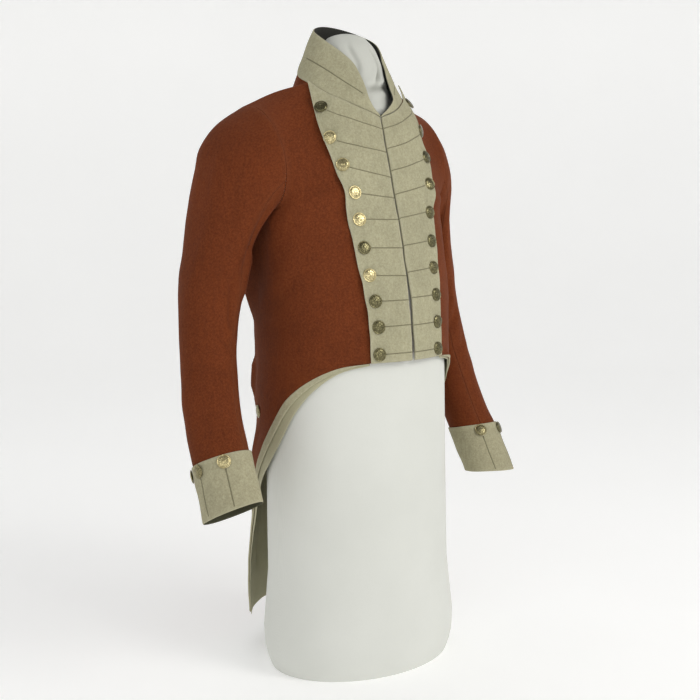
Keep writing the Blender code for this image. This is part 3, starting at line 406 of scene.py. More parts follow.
# Creases of the cloth round the form's neck: depth, width, (degrees from the front, height)
NECK_CREASES = (
    (0.0058, 0.0044, ((15, 0.944), (20, 0.930), (21, 0.912), (13, 0.898), (0, 0.886))),
    (0.0040, 0.0052, ((-20, 0.878), (4, 0.882), (24, 0.884), (40, 0.880))),
    (0.0020, 0.0060, ((-42, 0.950), (-30, 0.934), (-22, 0.914), (-30, 0.896))),
    (0.0016, 0.0060, ((82, 0.942), (88, 0.922), (84, 0.898))),
    (0.0016, 0.0060, ((-70, 0.944), (-62, 0.928), (-68, 0.908))),
    (0.0014, 0.0050, ((95, 0.940), (120, 0.928), (150, 0.930))),
    (0.0014, 0.0050, ((-95, 0.938), (-125, 0.930), (-155, 0.924))),
)
NECK_FOLD_STEPS = 40
METRES_A_DEGREE = 0.0011
FOLD_ENDS = (3.0, 0.15)
FOLD_SWELL = (0.35, 2.0)
# How deep a neck crease is where its painted shade is darkest
FOLD_SHADE = 0.004

# Display form: lines of its skin to each of the coat's, levels of the column under the coat,
# how far up the neck each ring lies, and the rings of its rounded top
FORM_FINENESS = 5
FORM_LEVELS = (
    0.44, 0.38, 0.32, 0.26, 0.20, 0.15, 0.10, 0.06, 0.03, 0.014, 0.006, 0.0025, 0.0008, 0.0,
)
NECK_SHARES = (*np.linspace(0.03, 0.90, 34), 0.94, 0.97, 1.0)
TOP_SHARES = (0.85, 0.65, 0.4, 0.2)
TOP_ROUNDNESS = 2.2
NECK_MIDDLE = (0.0, 0.010)

# The neck takes its own form and its folds over the first of its height, and slims toward the
# top: by how much, from which level, over which height
NECK_BLEND = 0.12
FOLD_START = 0.2
NECK_SLIM = (0.06, 0.90, 0.05)
# From which level the neck is painted darker, and over which height: painted shade against the
# top light, and in part the greyer cloth wrapped round it
NECK_SHADED = (0.83, 0.03)

# A struck button's face: distance from its axis in radii, height, depth of its rays
FINE_BUTTON = (
    (0.96, 0.0, 0.0),
    (1.00, 0.0003, 0.0),
    (1.00, 0.0009, 0.0),
    (0.975, 0.0013, 0.0),
    (0.94, 0.0015, 0.0),
    (0.90, 0.0013, 0.0),
    (0.87, 0.0011, 0.0),
    (0.84, 0.00125, 0.0),
    (0.80, 0.0016, 0.0),
    (0.75, 0.00195, 0.00003),
    (0.68, 0.0022, 0.00008),
    (0.58, 0.0024, 0.00010),
    (0.46, 0.00258, 0.00009),
    (0.36, 0.00268, 0.00005),
    (0.30, 0.00262, 0.0),
    (0.25, 0.00285, 0.0),
    (0.16, 0.00305, 0.0),
    (0.07, 0.0031, 0.0),
)

# Heights of the face that catch the light and are painted bright as a highlight, its unevenness,
# and how much of its rays' depth shows as painted shade
HIGHLIGHT_BEADS = (0.0013, 0.0015, 0.00305)
BUTTON_DENT = 0.00006
RELIEF = 0.0003

# A button's points round it, its rays, how high it stands, and how far it sinks and nods
BUTTON_TURNS = 48
RAYS = 12
BUTTON_STAND = 0.0012
BUTTON_SUNK = 0.0002
BUTTON_NOD = 0.05
BUTTON_LEAN = {"right": 0.0, "left": -0.18}

# How bright each button is painted, from the hem up, and round each cuff: the wear of its
# gilding, and on the brightest a painted highlight
BUTTON_WEAR_AND_HIGHLIGHT = {
    ("lapel", "right"): (0.15, 0.10, 0.12, 0.85, 0.12, 1.0, 0.90, 0.75, 0.95, 0.10),
    ("lapel", "left"): (0.10, 0.12, 0.10, 0.15, 0.10, 0.12, 0.20, 0.10, 0.15, 0.12),
    ("cuff", "right"): (1.0, 0.35, 0.50, 0.40),
    ("cuff", "left"): (0.30, 0.14, 0.05, 0.45),
}
HIP_TONE = 0.4
FIRST_SEED = 101

# Guide points of the collar's worked line on the wearer's left, mirrored on the right
COLLAR_BUTTONHOLE = (
    (0.0681, 0.0212, 0.9279), (0.0562, -0.0297, 0.8984), (0.0299, -0.0615, 0.8710),
)

# What each piece is cut to: width, length and area of what shows
CUTS = {
    "front": (0.34, 0.90, 0.133),
    "back": (0.24, 0.90, 0.132),
    "lapel": (0.12, 0.42, 0.035),
    "turnback": (0.022, 0.56, 0.006),
    "skirt_lining": (0.30, 0.46, 0.092),
    "top_sleeve": (0.24, 0.68, 0.101),
    "under_sleeve": (0.14, 0.60, 0.0525),
    "cuff": (0.27, 0.09, 0.022),
    "collar": (0.42, 0.10, 0.0273),
    "collar_lining": (0.42, 0.10, 0.026),
}

# Wools: dark, middle and light of the nap, rubbed edge, sheen, speck, and the painted shade of
# the inside where one is given
BUFF_SHEEN = (1.0, 0.97, 0.86)
WOOLS = {
    "red_wool": (
        (0.106, 0.0240, 0.0066), (0.145, 0.0338, 0.0096), (0.190, 0.0475, 0.0145),
        (0.165, 0.048, 0.019), (1.0, 0.55, 0.40), 0.5, None,
    ),
    "buff_wool": (
        (0.315, 0.293, 0.185), (0.385, 0.362, 0.238), (0.455, 0.430, 0.295),
        (0.46, 0.435, 0.31), BUFF_SHEEN, 0.4, None,
    ),
    "cuff_wool": (
        (0.315, 0.290, 0.182), (0.388, 0.360, 0.235), (0.460, 0.430, 0.290),
        (0.46, 0.435, 0.30), BUFF_SHEEN, 0.4, (0.085, 0.085, 0.052),
    ),
}

# Linings: dark, light, rubbed edge
TWILLS = {
    "buff_lining": ((0.355, 0.337, 0.213), (0.49, 0.467, 0.316), (0.53, 0.507, 0.37)),
    "dark_lining": ((0.018, 0.018, 0.016), (0.036, 0.035, 0.030), (0.06, 0.058, 0.048)),
}

# Gilding, bright and dull: worn away, then whole. The hollows' painted shade, uneven with the
# grime, lies under both
GILT = ((0.120, 0.112, 0.056), (0.80, 0.69, 0.38))
DULL = ((0.065, 0.062, 0.032), (0.42, 0.35, 0.17))
HOLLOW_SHADE = (0.045, 0.043, 0.024)

# Backdrop: floor's reach, radius of the curve up, height of the wall, sides
BACKDROP = (3.2, 1.6, 3.4, 96)

# Lights: name, place, aim, size, power, colour
SKY = 0.34
LIGHTS = (
    ("key", (0.85, -2.75, 2.3), (0.0, 0.0, 0.6), 1.6, 35.0, (1.0, 0.985, 0.96)),
    ("fill", (-2.4, -1.6, 1.5), (0.0, 0.0, 0.55), 2.2, 5.5, (0.97, 0.985, 1.0)),
    ("top", (0.3, 1.2, 3.0), (0.0, 0.0, 0.6), 2.0, 13.0, (1.0, 1.0, 1.0)),
    ("glint", (-0.62, -2.65, 0.80), (0.0, 0.0, 0.70), 0.45, 3.4, (1.0, 0.99, 0.96)),
)

# The photograph's view: degrees, and metres from the middle of the column
VIEW = {
    "azimuth": -40.0,
    "pitch": 6.58,
    "roll": -0.896,
    "distance": 1.865,
    "height": 0.700,
    "aim": -0.0088,
    "lens": 61.8,
}


def unit(vectors):
    return vectors / np.maximum(np.linalg.norm(vectors, axis=-1, keepdims=True), 1e-12)


def apart(points, others):
    return np.linalg.norm(points - others, axis=-1)


def lengths(path):
    """The way along a path to each of its points."""
    return np.concatenate([[0], np.cumsum(apart(path[1:], path[:-1]))])


def on_side(points, side):
    """Points of the left side on the side asked for: 1 the wearer's left, -1 the right."""
    return points * np.array([side, 1.0, 1.0])


def mix(a, b, share):
    return a + (b - a) * share


def ease(t):
    t = np.clip(t, 0.0, 1.0)
    return t * t * (3 - 2 * t)


def bell(t):
    return np.exp(-(t**2))


def read(table, at, column=0):
    """Rows of a table read smoothly at places along one of its columns."""
    rows = np.asarray(table, float)
    if rows[0, column] > rows[-1, column]:
        rows = rows[::-1]
    keys = rows[:, column]
    slopes = np.gradient(rows, keys, axis=0)
    place = np.clip(np.asarray(at, float), keys[0], keys[-1])
    low = np.clip(np.searchsorted(keys, place) - 1, 0, len(keys) - 2)
    width = keys[low + 1] - keys[low]
    t = ((place - keys[low]) / width)[..., None]
    width = width[..., None]
    start = (1 + 2 * t) * (1 - t) ** 2 * rows[low] + t * (1 - t) ** 2 * width * slopes[low]
    end = t * t * (3 - 2 * t) * rows[low + 1] + t * t * (t - 1) * width * slopes[low + 1]
    return start + end


def read_rows(table, at):
    """A table read smoothly at places between its rows, counted from 0."""
    numbered = np.column_stack([np.arange(len(table)), np.asarray(table, float)])
    return read(numbered, at)[..., 1:]


def along(line, count=48):
    """A smooth line through a few guide points, whatever they measure."""
    return read_rows(line, np.linspace(0, len(line) - 1, count))


def body(angle, height):
    """A point of the body's skin, by angle from the centre front and height."""
    turn = np.radians(np.asarray(angle, float))
    height = np.asarray(height, float) + 0.0 * turn
    section = read(BODY, height)
    depth = np.where(np.cos(turn) > 0, section[..., 2], section[..., 3])
    return np.stack([section[..., 1] * np.sin(turn), -depth * np.cos(turn), height], -1)


def angle_of(point):
    """The body angle whose direction a point lies in."""
    section = read(BODY, point[..., 2])
    depth = np.where(point[..., 1] < 0, section[..., 2], section[..., 3])
    return np.degrees(np.arctan2(point[..., 0] / section[..., 1], -point[..., 1] / depth))


def armhole(turn):
    """A point of the armhole: 0 at the shoulder, 90 in front, 180 below, 270 behind."""
    return sleeve(0.0, turn)


def sleeve(row, turn, hang=STRAIGHT):
    """A point of the sleeve, by its place in the table of rings and its turn in degrees."""
    ring = read_rows(SLEEVE, row)
    ring[..., 0] += hang[0] * ease(row / 2)
    ring[..., 6] += hang[1] * ease(row / 2)
    ring[..., [2, 5]] += hang[2] * (row / CUFF_END_ROW) ** 2
    ring[..., 8] += hang[3] * (row / CUFF_END_ROW) ** 4
    turn = np.radians(np.asarray(turn, float))[..., None]
    outer, inner = ring[..., 0:3], ring[..., 3:6]
    reach = np.where(np.sin(turn) > 0, ring[..., 6:7], ring[..., 7:8]) * np.sin(turn)
    lean = ring[..., 8:9] * np.sin(turn)
    across = (outer - inner) / 2 * np.cos(turn)
    return (outer + inner) / 2 + across + np.concatenate([0 * reach, -reach, -lean], -1)


def spread(left, right, share, ends, end_weight):
    """A row of the skin between two guide points, with the body's own roundness.

    ends is the shape that the last row has, and end_weight says how far this row has turned
    into it.
    """
    share = np.asarray(share, float)[:, None]
    angle = mix(angle_of(left), angle_of(right), share[:, 0])
    round_row = body(angle, mix(left[2], right[2], share[:, 0]))
    round_part = round_row - mix(round_row[0], round_row[-1], share)
    own_part = ends - mix(ends[0], ends[-1], share)
    return mix(left, right, share) + (1 - end_weight) * round_part + end_weight * own_part


# Guide lines run from step 0 at the hem to 1 at the chest, and 2 at the neck or the shoulder


def lapel_edge(step):
    """A point of the lapel's outer edge."""
    height = np.interp(step, (0, 1, 2), (HEM_LEVEL, LAPEL_CHEST_LEVEL, COLLAR[6][2]))
    row = read(LAPEL_EDGE, height)
    section = read(BODY, height)
    on_body = section[2] * math.sqrt(max(0.0, 1 - (row[1] / section[1]) ** 2))
    forward = mix(on_body, row[2], ease((height - LAPEL_FREE[0]) / LAPEL_FREE[1]))
    return np.array([row[1], -forward, height])


def centre(angle, step, chest, top):
    return body(angle, np.interp(step, (0, 1, 2), (HEM_LEVEL, chest, top)))


def side_line(step):
    """Below the arm, then up the front of the armhole."""
    if step > 1:
        return armhole(180.0 * (2 - step))
    lift = armhole(180.0) - body(SIDE_ANGLE, SIDE_CHEST_LEVEL)
    return body(SIDE_ANGLE, mix(HEM_LEVEL, SIDE_CHEST_LEVEL, step)) + lift * step**2


def back_seam(step):
    """The side-back seam, then up the back of the armhole."""
    if step > 1:
        return armhole(mix(SEAM_ARMHOLE_TURN, 360.0, step - 1))
    end = armhole(SEAM_ARMHOLE_TURN)
    angle = mix(SEAM_WAIST_ANGLE, SEAM_CHEST_ANGLE, step)
    lift = end - body(SEAM_CHEST_ANGLE, end[2])
    return body(angle, mix(HEM_LEVEL, end[2], step)) + lift * step**2


def neck_seam(first, last, columns):
    return read_rows(COLLAR, np.linspace(first, last, columns + 1))[:, :3]


def shoulder_seam():
    return along(SHOULDER, SHOULDER_COLUMNS + 1)


def upper_steps():
    upper = np.linspace(1, 2, UPPER_ROWS + 1)[1:]
    return np.concatenate([np.linspace(0, 1, TORSO_ROWS + 1), upper])


def forepart_grid():
    """Rows from the waist up: lapel columns, chest columns, side columns (none above the arm)."""
    lapel_share = np.linspace(0, 1, LAPEL_COLUMNS + 1)
    chest_share = np.linspace(0, 1, CHEST_COLUMNS + 1)
    side_share = np.linspace(0, 1, SIDE_COLUMNS + 1)
    neck, shoulder = neck_seam(0, 6, LAPEL_COLUMNS), shoulder_seam()
    under_arm = armhole(mix(180.0, SEAM_ARMHOLE_TURN, side_share))
    rows = []
    for step in upper_steps():
        top = ease(step - 1)
        front = centre(0.0, step, FRONT_CHEST_LEVEL, FRONT_NECK_LEVEL)
        edge, side = lapel_edge(step), side_line(step)
        shares = chest_share if step else waist_shares(edge, side)
        lapel = spread(front, edge, lapel_share, neck, top)
        chest = spread(edge, side, shares, shoulder, top)
        flank = spread(side, back_seam(min(step, 1)), side_share, under_arm, min(step, 1) ** 3)
        if step > 1:
            flank[:] = np.nan
        rows.append(np.concatenate([lapel, chest[1:], flank[1:]]))
    return np.array(rows)


def waist_shares(edge, side):
    """At the waist the first chest column stands close to the lapel, where the edging starts."""
    first = (CUTAWAY[0][1] - angle_of(edge)) / (angle_of(side) - angle_of(edge))
    return np.concatenate([[0.0], np.linspace(first, 1, CHEST_COLUMNS)])


def back_grid():
    """Rows from the waist up: columns from the centre back to the seam and the armhole."""
    share = np.linspace(0, 1, NECK_COLUMNS + SHOULDER_COLUMNS + 1)
    top_row = np.concatenate([neck_seam(10, 6, NECK_COLUMNS), shoulder_seam()[1:]])
    rows = []
    for step in upper_steps():
        ends = softened(top_row, round(10 * (2 - step)))
        middle = centre(180.0, step, BACK_CHEST_LEVEL, NAPE_LEVEL)
        rows.append(spread(middle, back_seam(step), share, ends, ease(step - 1)))
    return np.array(rows)


def softened(row, times):
    """A row whose corners are rounded off. Its ends stay."""
    for _ in range(times):
        row = np.concatenate([row[:1], (row[:-2] + 2 * row[1:-1] + row[2:]) / 4, row[-1:]])
    return row


def edge_places():
    """Places along the cut-away, evenly spaced by length: height, angle, turnback, lining."""
    fine = along(CUTAWAY, 400)
    length = lengths(body(fine[:, 1], fine[:, 0]))
    at = np.linspace(0, length[-1], SKIRT_ROWS + 1)
    return np.stack([np.interp(at, length, fine[:, k]) for k in range(4)], -1)


def beside_edge(spots, distance):
    """Points a distance outside the cut-away line."""
    height, angle = spots[:, 0], spots[:, 1]
    radius = np.linalg.norm(body(angle, height)[:, :2], axis=1)
    ahead = unit(np.stack([np.gradient(np.radians(angle) * radius), np.gradient(height)], -1))
    turned = np.degrees(ahead[:, 1] * distance / radius)
    return body(angle + turned, height - ahead[:, 0] * distance)


def skirt_grid(waist_front, waist_back):
    """Rows from the waist down: lining edge, cut edge, red edge, fore-skirt, back-skirt.

    The first row is the waist row of the forepart from the lapel's edge, and of the back.
    """
    spots = edge_places()
    cut = beside_edge(spots, spots[:, 2])
    lining = beside_edge(spots, spots[:, 2] + spots[:, 3])
    front = angle_of(waist_front[1:])
    front = (front - front[0]) / (front[-1] - front[0])
    back = np.linspace(0, 1, len(waist_back))
    down = np.linspace(0, 1, SKIRT_ROWS + 1)
    seam_heights = mix(HEM_LEVEL, TAIL_LEVEL + 0.004, down**1.1)
    back_heights = mix(HEM_LEVEL, TAIL_LEVEL + 0.003, down**1.15)
    rows = []
    for k, (spot, seam, last) in enumerate(zip(spots, seam_heights, back_heights)):
        angle = read(PLEAT, seam)[1]
        edge = cut[k]
        fore = body(mix(spot[1], angle, front), mix(spot[0], seam, front))
        rear = body(mix(angle, 180.0, back), mix(seam, last, back))
        if k == 0:
            edge, fore, rear = waist_front[0], waist_front[1:], waist_back
        rows.append(np.concatenate([[lining[k], edge], fore, rear[1:]]))
    return sink_pleat(np.array(rows))


def sink_pleat(points):
    """The hollow under the hip, where the skirt's pleat begins below the waist."""
    height = points[..., 2]
    across = bell((angle_of(points) - HOLLOW_ANGLE) / HOLLOW_REACH)
    below = ease((HOLLOW_TOP[0] - height) / HOLLOW_TOP[1])
    below *= 1 - ease((HOLLOW_END[0] - height) / HOLLOW_END[1])
    out = unit(points * np.array([1.0, 1.0, 0.0]))
    return points - out * (PLEAT_SINK * across * below)[..., None]


def all_four(there):
    """Whether a square's four corners are there, for each square."""
    return there[:-1, :-1] & there[1:, :-1] & there[:-1, 1:] & there[1:, 1:]


def whole(points):
    """Every quad of a grid whose corners exist."""
    return all_four(np.isfinite(points[..., 0]))


def used_places(mask):
    """The corners of a grid's quads."""
    wide = np.pad(mask, 1)
    return wide[:-1, :-1] | wide[1:, :-1] | wide[:-1, 1:] | wide[1:, 1:]


def full_grids():
    """Forepart, back and skirt grids, rows running up from the tail and columns to the back."""
    fore = forepart_grid()
    back = back_grid()[:, ::-1]
    skirt = skirt_grid(fore[0, LAPEL_COLUMNS:], back[0])[::-1]
    seam = 1 + CHEST_COLUMNS + SIDE_COLUMNS
    blank = np.full((SKIRT_ROWS, LAPEL_COLUMNS, 3), np.nan)
    fore_skirt = np.concatenate([blank, skirt[:-1, 1 : seam + 1]], axis=1)
    back = np.concatenate([skirt[:-1, seam:], back])
    open_vent(back)
    open_vent(skirt)
    return np.concatenate([fore_skirt, fore]), back, skirt


def open_vent(points):
    """Below the waist the two tails part a little at the centre back."""
    edge = points[:, -1]
    drop = np.clip((VENT_LEVEL - edge[:, 2]) / (VENT_LEVEL - TAIL_LEVEL), 0, 1)
    edge[:, 0] = np.maximum(edge[:, 0], VENT_SPREAD * drop)


def sleeve_turns():
    """Turns of the armhole's points, the same ones that the forepart and back end on.

    They run down from 360, so that the sleeve's normals point out of it.
    """
    share = np.linspace(0, 1, UPPER_ROWS + 1)
    under = np.linspace(180.0, SEAM_ARMHOLE_TURN, SIDE_COLUMNS + 1)
    behind = mix(SEAM_ARMHOLE_TURN, 360.0, share)
    return np.concatenate([(180 * (1 - share))[::-1], under[1:], behind[1:]])[::-1]


def sleeve_grid(rows, hang):
    """Rows run up from the cuff to the armhole, and columns turn from the back to the front."""
    turns = sleeve_turns()
    return np.array([sleeve(row, turns, hang) for row in rows[::-1]])


def lapel_button_spots(points, side_name):
    """Places beside the lapel's outer edge, lowest first."""
    strip = points[:, : LAPEL_COLUMNS + 1]
    width = apart(strip[:, 1:], strip[:, :-1]).sum(axis=1)
    row = np.arange(len(strip))
    for level, inset in LAPEL_BUTTONS[side_name]:
        column = LAPEL_COLUMNS * (1 - inset / width)
        low = column.astype(int)
        line = mix(strip[row, low], strip[row, low + 1], (column - low)[:, None])
        at = np.interp(level, line[:, 2], row)
        k = min(int(at), len(row) - 2)
        yield mix(line[k], line[k + 1], at - k)


def cuff_button_spots(side_name):
    """Places round the cuff, below its top edge."""
    hang = SLEEVE_HANG[side_name]
    depth = apart(sleeve(CUFF_END_ROW, 0.0, hang), sleeve(CUFF_TOP_ROW, 0.0, hang))
    row = CUFF_TOP_ROW + CUFF_BUTTON_DROP / depth
    return [sleeve(row, turn, hang) for turn in CUFF_BUTTON_TURNS[side_name]]


def collar_grid():
    """Rows up from the neck seam, columns from the left front round the back to the right."""
    rows = np.array(COLLAR)
    shares = np.linspace(0, 1, COLLAR_ROWS + 1)[:, None, None]
    left = mix(rows[:, 0:3], rows[:, 3:6], shares)
    return np.concatenate([left, on_side(left[:, -2::-1], -1.0)], axis=1)


# Fine grids and walls


def places(count, steps, close=()):
    """Fine places along a grid's rows or columns, closer together beside the ones named."""
    found = set(np.round(np.linspace(0, count - 1, (count - 1) * steps + 1), 4))
    for at in close:
        for step in EDGE_STEPS:
            found |= {round(at - step, 4), round(at + step, 4)}
    return np.array(sorted(p for p in found if 0 <= p <= count - 1))


def between(points, at, corners=None, wrap=False):
    """A grid read at places along its rows, on smooth curves down its columns.

    corners marks the places where such a curve has a corner.
    """
    step = points[1:] - points[:-1]
    size = np.maximum(np.linalg.norm(step, axis=-1, keepdims=True), 1e-9)

    def both_ways(values):
        none = np.full_like(values[:1], np.nan)
        before, after = (values[-1:], values[:1]) if wrap else (none, none)
        return np.concatenate([before, values]), np.concatenate([values, after])

    behind, ahead = both_ways(step / size)
    back_size, next_size = both_ways(size)
    smooth = (behind * next_size + ahead * back_size) / (next_size + back_size)
    if corners is not None:
        smooth[corners] = np.nan
    leaving = np.where(np.isfinite(smooth), smooth, ahead)
    arriving = np.where(np.isfinite(smooth), smooth, behind)

    def spans(low):
        low = np.clip(low.astype(int), 0, len(points) - 2)
        t = (at - low)[:, None, None]
        start = (1 + 2 * t) * (1 - t) ** 2 * points[low] + t * t * (3 - 2 * t) * points[low + 1]
        turn = t * (1 - t) ** 2 * leaving[low] + t * t * (t - 1) * arriving[low + 1]
        return start + turn * size[low]

    above = spans(np.floor(at))
    return np.where(np.isfinite(above), above, spans(np.ceil(at) - 1))


def finer(points, rows, columns, corners=None, wrap=False):
    down = between(points, rows, corners)
    return np.swapaxes(between(np.swapaxes(down, 0, 1), columns, wrap=wrap), 0, 1)


def normals_of(points, wrap=False):
    """Area-weighted normals of a fine grid."""
    a, b, c, d = points[:-1, :-1], points[:-1, 1:], points[1:, 1:], points[1:, :-1]
    face = np.nan_to_num(np.cross(c - a, d - b))
    total = np.zeros_like(points)
    for part in (np.s_[:-1, :-1], np.s_[:-1, 1:], np.s_[1:, 1:], np.s_[1:, :-1]):
        total[part] += face
    if wrap:
        total[:, 0] += total[:, -1]
        total[:, -1] = total[:, 0]
    total[np.abs(points[..., 0]) < TINY, 0] = 0.0
    return unit(total)


def moved_out(points, out, wrap=False):
    """A fine grid moved out along its normals, and the normals that it then has."""
    points = points + normals_of(points, wrap) * out[..., None]
    return points, normals_of(points, wrap)


def meet(one, other):
    """Two edges' normals made the same, so that what is moved out along them still meets."""
    one[:] = unit(one + other)
    other[:] = one


def trough(points, path, width, depth):
    """A soft trough along a path, with a low swell on both sides. A ridge has depth below 0."""
    flat = points.reshape(-1, 3)
    there = np.isfinite(flat[:, 0])
    away = apart(flat[there, None], path[None])
    share = away.argmin(axis=1) / (len(path) - 1)
    away = away.min(axis=1) / width
    fade = ease(CREASE_ENDS[0] * np.minimum(share, 1 - share) + CREASE_ENDS[1])
    high, at, reach = SWELL
    found = np.zeros(len(flat))
    found[there] = depth * fade * (high * bell((away - at) / reach) - bell(away))
    return found.reshape(points.shape[:-1])


def ripple(points, height, size, seed):
    """Smooth uneven waves of the given height, about the given size across."""
    chance = np.random.default_rng(seed)
    total = np.zeros(points.shape[:-1])
    for _ in range(7):
        way = chance.normal(size=3)
        way *= 2 * math.pi / (size * chance.uniform(0.7, 1.5)) / np.linalg.norm(way)
        total += np.sin(np.nan_to_num(points) @ way + chance.uniform(0, 6.28))
    return height * total / 4


def padded(mask, wrap):
    """The quads with an empty border, or their neighbours where the grid closes round."""
    wide = np.pad(mask, 1)
    if wrap:
        wide[:, 0], wide[:, -1] = wide[:, -2], wide[:, 1]
    return wide


def from_edge(points, mask, wrap):
    """Each point's distance from the outer edge of its piece."""
    used = used_places(mask)
    edge = points[used & ~all_four(padded(mask, wrap))]
    tree = KDTree(len(edge))
    for k, point in enumerate(edge):
        tree.insert(point, k)
    tree.balance()
    away = np.full(used.shape, FAR)
    for place in zip(*np.nonzero(used)):
        away[place] = tree.find(points[place])[2]
    return away


def shell(points, normals, low, high, mask=True, wrap=False, soft=EDGE_SOFT):
    """A closed thin wall between two offsets, with rounded edges. Also says how near they are."""
    mask = mask & whole(points)
    away = from_edge(points, mask, wrap)
    drop = (high - low) * EDGE_SHARE * (1 - np.sqrt(1 - np.clip(1 - away / soft, 0, 1) ** 2))
    used = used_places(mask)
    if wrap:
        used[:, -1] = False
    count = int(used.sum())
    index = np.full(used.shape, -1)
    index[used] = np.arange(count)
    if wrap:
        index[:, -1] = index[:, 0]
    quads = np.stack([index[:-1, :-1], index[:-1, 1:], index[1:, 1:], index[1:, :-1]], -1)
    faces = [quads[mask], quads[mask][:, ::-1] + count]
    ring = padded(mask, wrap)
    all_sides = ring[:-2, 1:-1], ring[1:-1, 2:], ring[2:, 1:-1], ring[1:-1, :-2]
    for side, beside in enumerate(all_sides):
        p, q = quads[mask & ~beside][:, [side, (side + 1) % 4]].T
        faces.append(np.stack([p + count, q + count, q, p], -1))
    above = points + normals * (high - drop)[..., None]
    below = points + normals * (low + drop)[..., None]
    near = np.exp(-np.tile(away[used], 2) / RUBBED)
    return np.concatenate([above[used], below[used]]), np.concatenate(faces).tolist(), near


def tube(index):
    """Quads round a stack of closed rings, by their points' numbers."""
    index = np.asarray(index)
    after = np.roll(index, -1, axis=1)
    return np.stack([index[:-1], after[:-1], after[1:], index[1:]], -1).reshape(-1, 4)


def fan(middle, loop):
    """Triangles from a middle point to a closed loop, by their numbers."""
    loop = list(map(int, loop))
    return [[middle, k, n] for k, n in zip(loop, loop[1:] + loop[:1])]


def smooth_piece(name, points, faces, kind, shades=None):
    """An object of one material, whose shades are attributes of its points."""
    mesh = bpy.data.meshes.new(name)
    mesh.from_pydata(points.tolist(), [], faces)
    mesh.validate()
    mesh.shade_smooth()
    for label, values in (shades or {}).items():
        mesh.attributes.new(label, "FLOAT", "POINT").data.foreach_set("value", values)
    mesh.materials.append(MATERIALS[kind])
    piece = bpy.data.objects.new(name, mesh)
    bpy.context.collection.objects.link(piece)
    return piece


def put(name, points, faces, kind, side=1.0, nodes=(), shades=None):
    """One piece of the scene, in its place. side -1 mirrors it to the wearer's right."""
    if side < 0:
        faces = [face[::-1] for face in faces]
    piece = smooth_piece(name, on_side(points, side) + PLACE, faces, kind, shades)
    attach(piece, "root")
    if nodes:
        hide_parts(*nodes)
    return piece


def cloth(part, side_name, made, kind):
    """A sewn piece: its wall. The size that its cloth was cut to is read, but not used."""
    name = f"{part}_{side_name}" if side_name else part
    points, faces, near = made
    # inside marks each wall's inner face; on the cuff it takes a painted shade
    shades = {"edge": near, "inside": np.repeat([0.0, 1.0], len(points) // 2)}
    side = SIDES.get(side_name, 1.0)
    piece = put(name + "_cloth", points, faces, kind, side, (name,), shades)
    width, length, area = CUTS[part]


def stitched(path, outward, length, sizes, eyelet_size=1.0):
    """A worked line with its eyelet at the start: two rows of stitches along a path."""
    width, growth, reach, height = sizes
    eyelet = eyelet_size * bell(np.linspace(0, 1, len(path)) * length / reach)
    ahead = unit(np.gradient(path, axis=0))
    beside = unit(np.cross(ahead, outward))
    across = np.linspace(-1, 1, 9)
    hump = (1 - across**4) * (0.50 + 0.50 * np.sin(math.pi * across) ** 2)
    stitch = 1 - STITCH_DIP * (1 - np.abs(np.sin(math.pi * lengths(path) / STITCH)))
    half_width = width * (1 + growth * eyelet) / 2 * (1 - STITCH_WAIST * (1 - stitch))
    aside = beside[:, None] * (half_width[:, None] * across)[..., None]
    rise = outward[:, None] * (height * stitch[:, None] * hump)[..., None]
    top = path[:, None] + aside + rise
    under = path[:, None] + aside[:, ::-1] - outward[:, None] * LINE_DEPTH
    points = np.concatenate([top, under], axis=1)
    count = points.shape[1]
    index = np.arange(points.size // 3).reshape(-1, count)
    k = np.arange(len(across) - 1)
    cap = np.stack([k, k + 1, count - 2 - k, count - 1 - k], -1)
    sides = tube(index)[:, [0, 3, 2, 1]]
    faces = np.concatenate([sides, index[0][cap], index[-1][cap][:, ::-1]])
    # The eyelet's weight also marks where its painted shade darkens the thread
    return points.reshape(-1, 3), faces, np.repeat(eyelet, count)


def put_threads(name, parts, side=1.0):
    """Several worked lines as one piece."""
    points, faces, eyelet_shades = zip(*parts)
    starts = np.cumsum([0] + [len(part) for part in points[:-1]])
    faces = np.concatenate([part + start for part, start in zip(faces, starts)]).tolist()
    shades = {"dark": np.concatenate(eyelet_shades)}
    put(name, np.concatenate(points), faces, "thread", side, (), shades)


def fine_button(seed):
    """A turned, domed and struck button: rim bead, hollow, fluted rays and a boss."""
    phase = np.random.default_rng(seed).uniform(0, 6.28)
    turns = np.linspace(0, 2 * math.pi, BUTTON_TURNS, endpoint=False)
    reach, height, ray = np.array(FINE_BUTTON).T[..., None]
    wave = ray * np.cos(RAYS * turns + phase)
    dent = BUTTON_DENT * np.cos(2 * turns + 3 * reach + phase) * (reach < 0.97)
    ring = BUTTON_RADIUS * reach
    rings = np.stack([ring * np.cos(turns), ring * np.sin(turns), height + wave + dent], -1)
    # The raised beads and ray crests get a painted highlight, the ray hollows a painted shade
    relief_light_and_shade = np.clip(0.5 + wave / RELIEF + 0.5 * np.isin(height, HIGHLIGHT_BEADS), 0, 1)
    index = np.arange(relief_light_and_shade.size).reshape(-1, BUTTON_TURNS)
    ends = [[0, 0, -BUTTON_STAND], [0, 0, BUTTON_DOME + 0.0001]]
    points = np.concatenate([rings.reshape(-1, 3), ends])
    faces = fan(relief_light_and_shade.size, index[0][::-1]) + fan(relief_light_and_shade.size + 1, index[-1])
    return points, tube(index).tolist() + faces, np.append(relief_light_and_shade, [0.2, 0.9])


def put_button(name, spot, out, side_name, seed, tone, lean=0.0):
    """A button on its shank, standing a little askew."""
    points, faces, relief_light_and_shade = fine_button(seed)
    nod = np.random.default_rng(seed).normal(size=3) * BUTTON_NOD
    axis = unit(out + nod + np.array([lean, 0.0, 0.0]))
    first = unit(np.cross((0.0, 0.0, 1.0), axis))
    points = points @ np.array([first, np.cross(axis, first), axis])
    points += spot + out * (BUTTON_STAND - BUTTON_SUNK)
    shades = {"relief_light_and_shade": relief_light_and_shade, "tone": np.full(len(points), tone)}
    side = SIDES[side_name]
    put(name + "_struck", points, faces, "gilt_brass", side, (name,), shades=shades)


# Materials


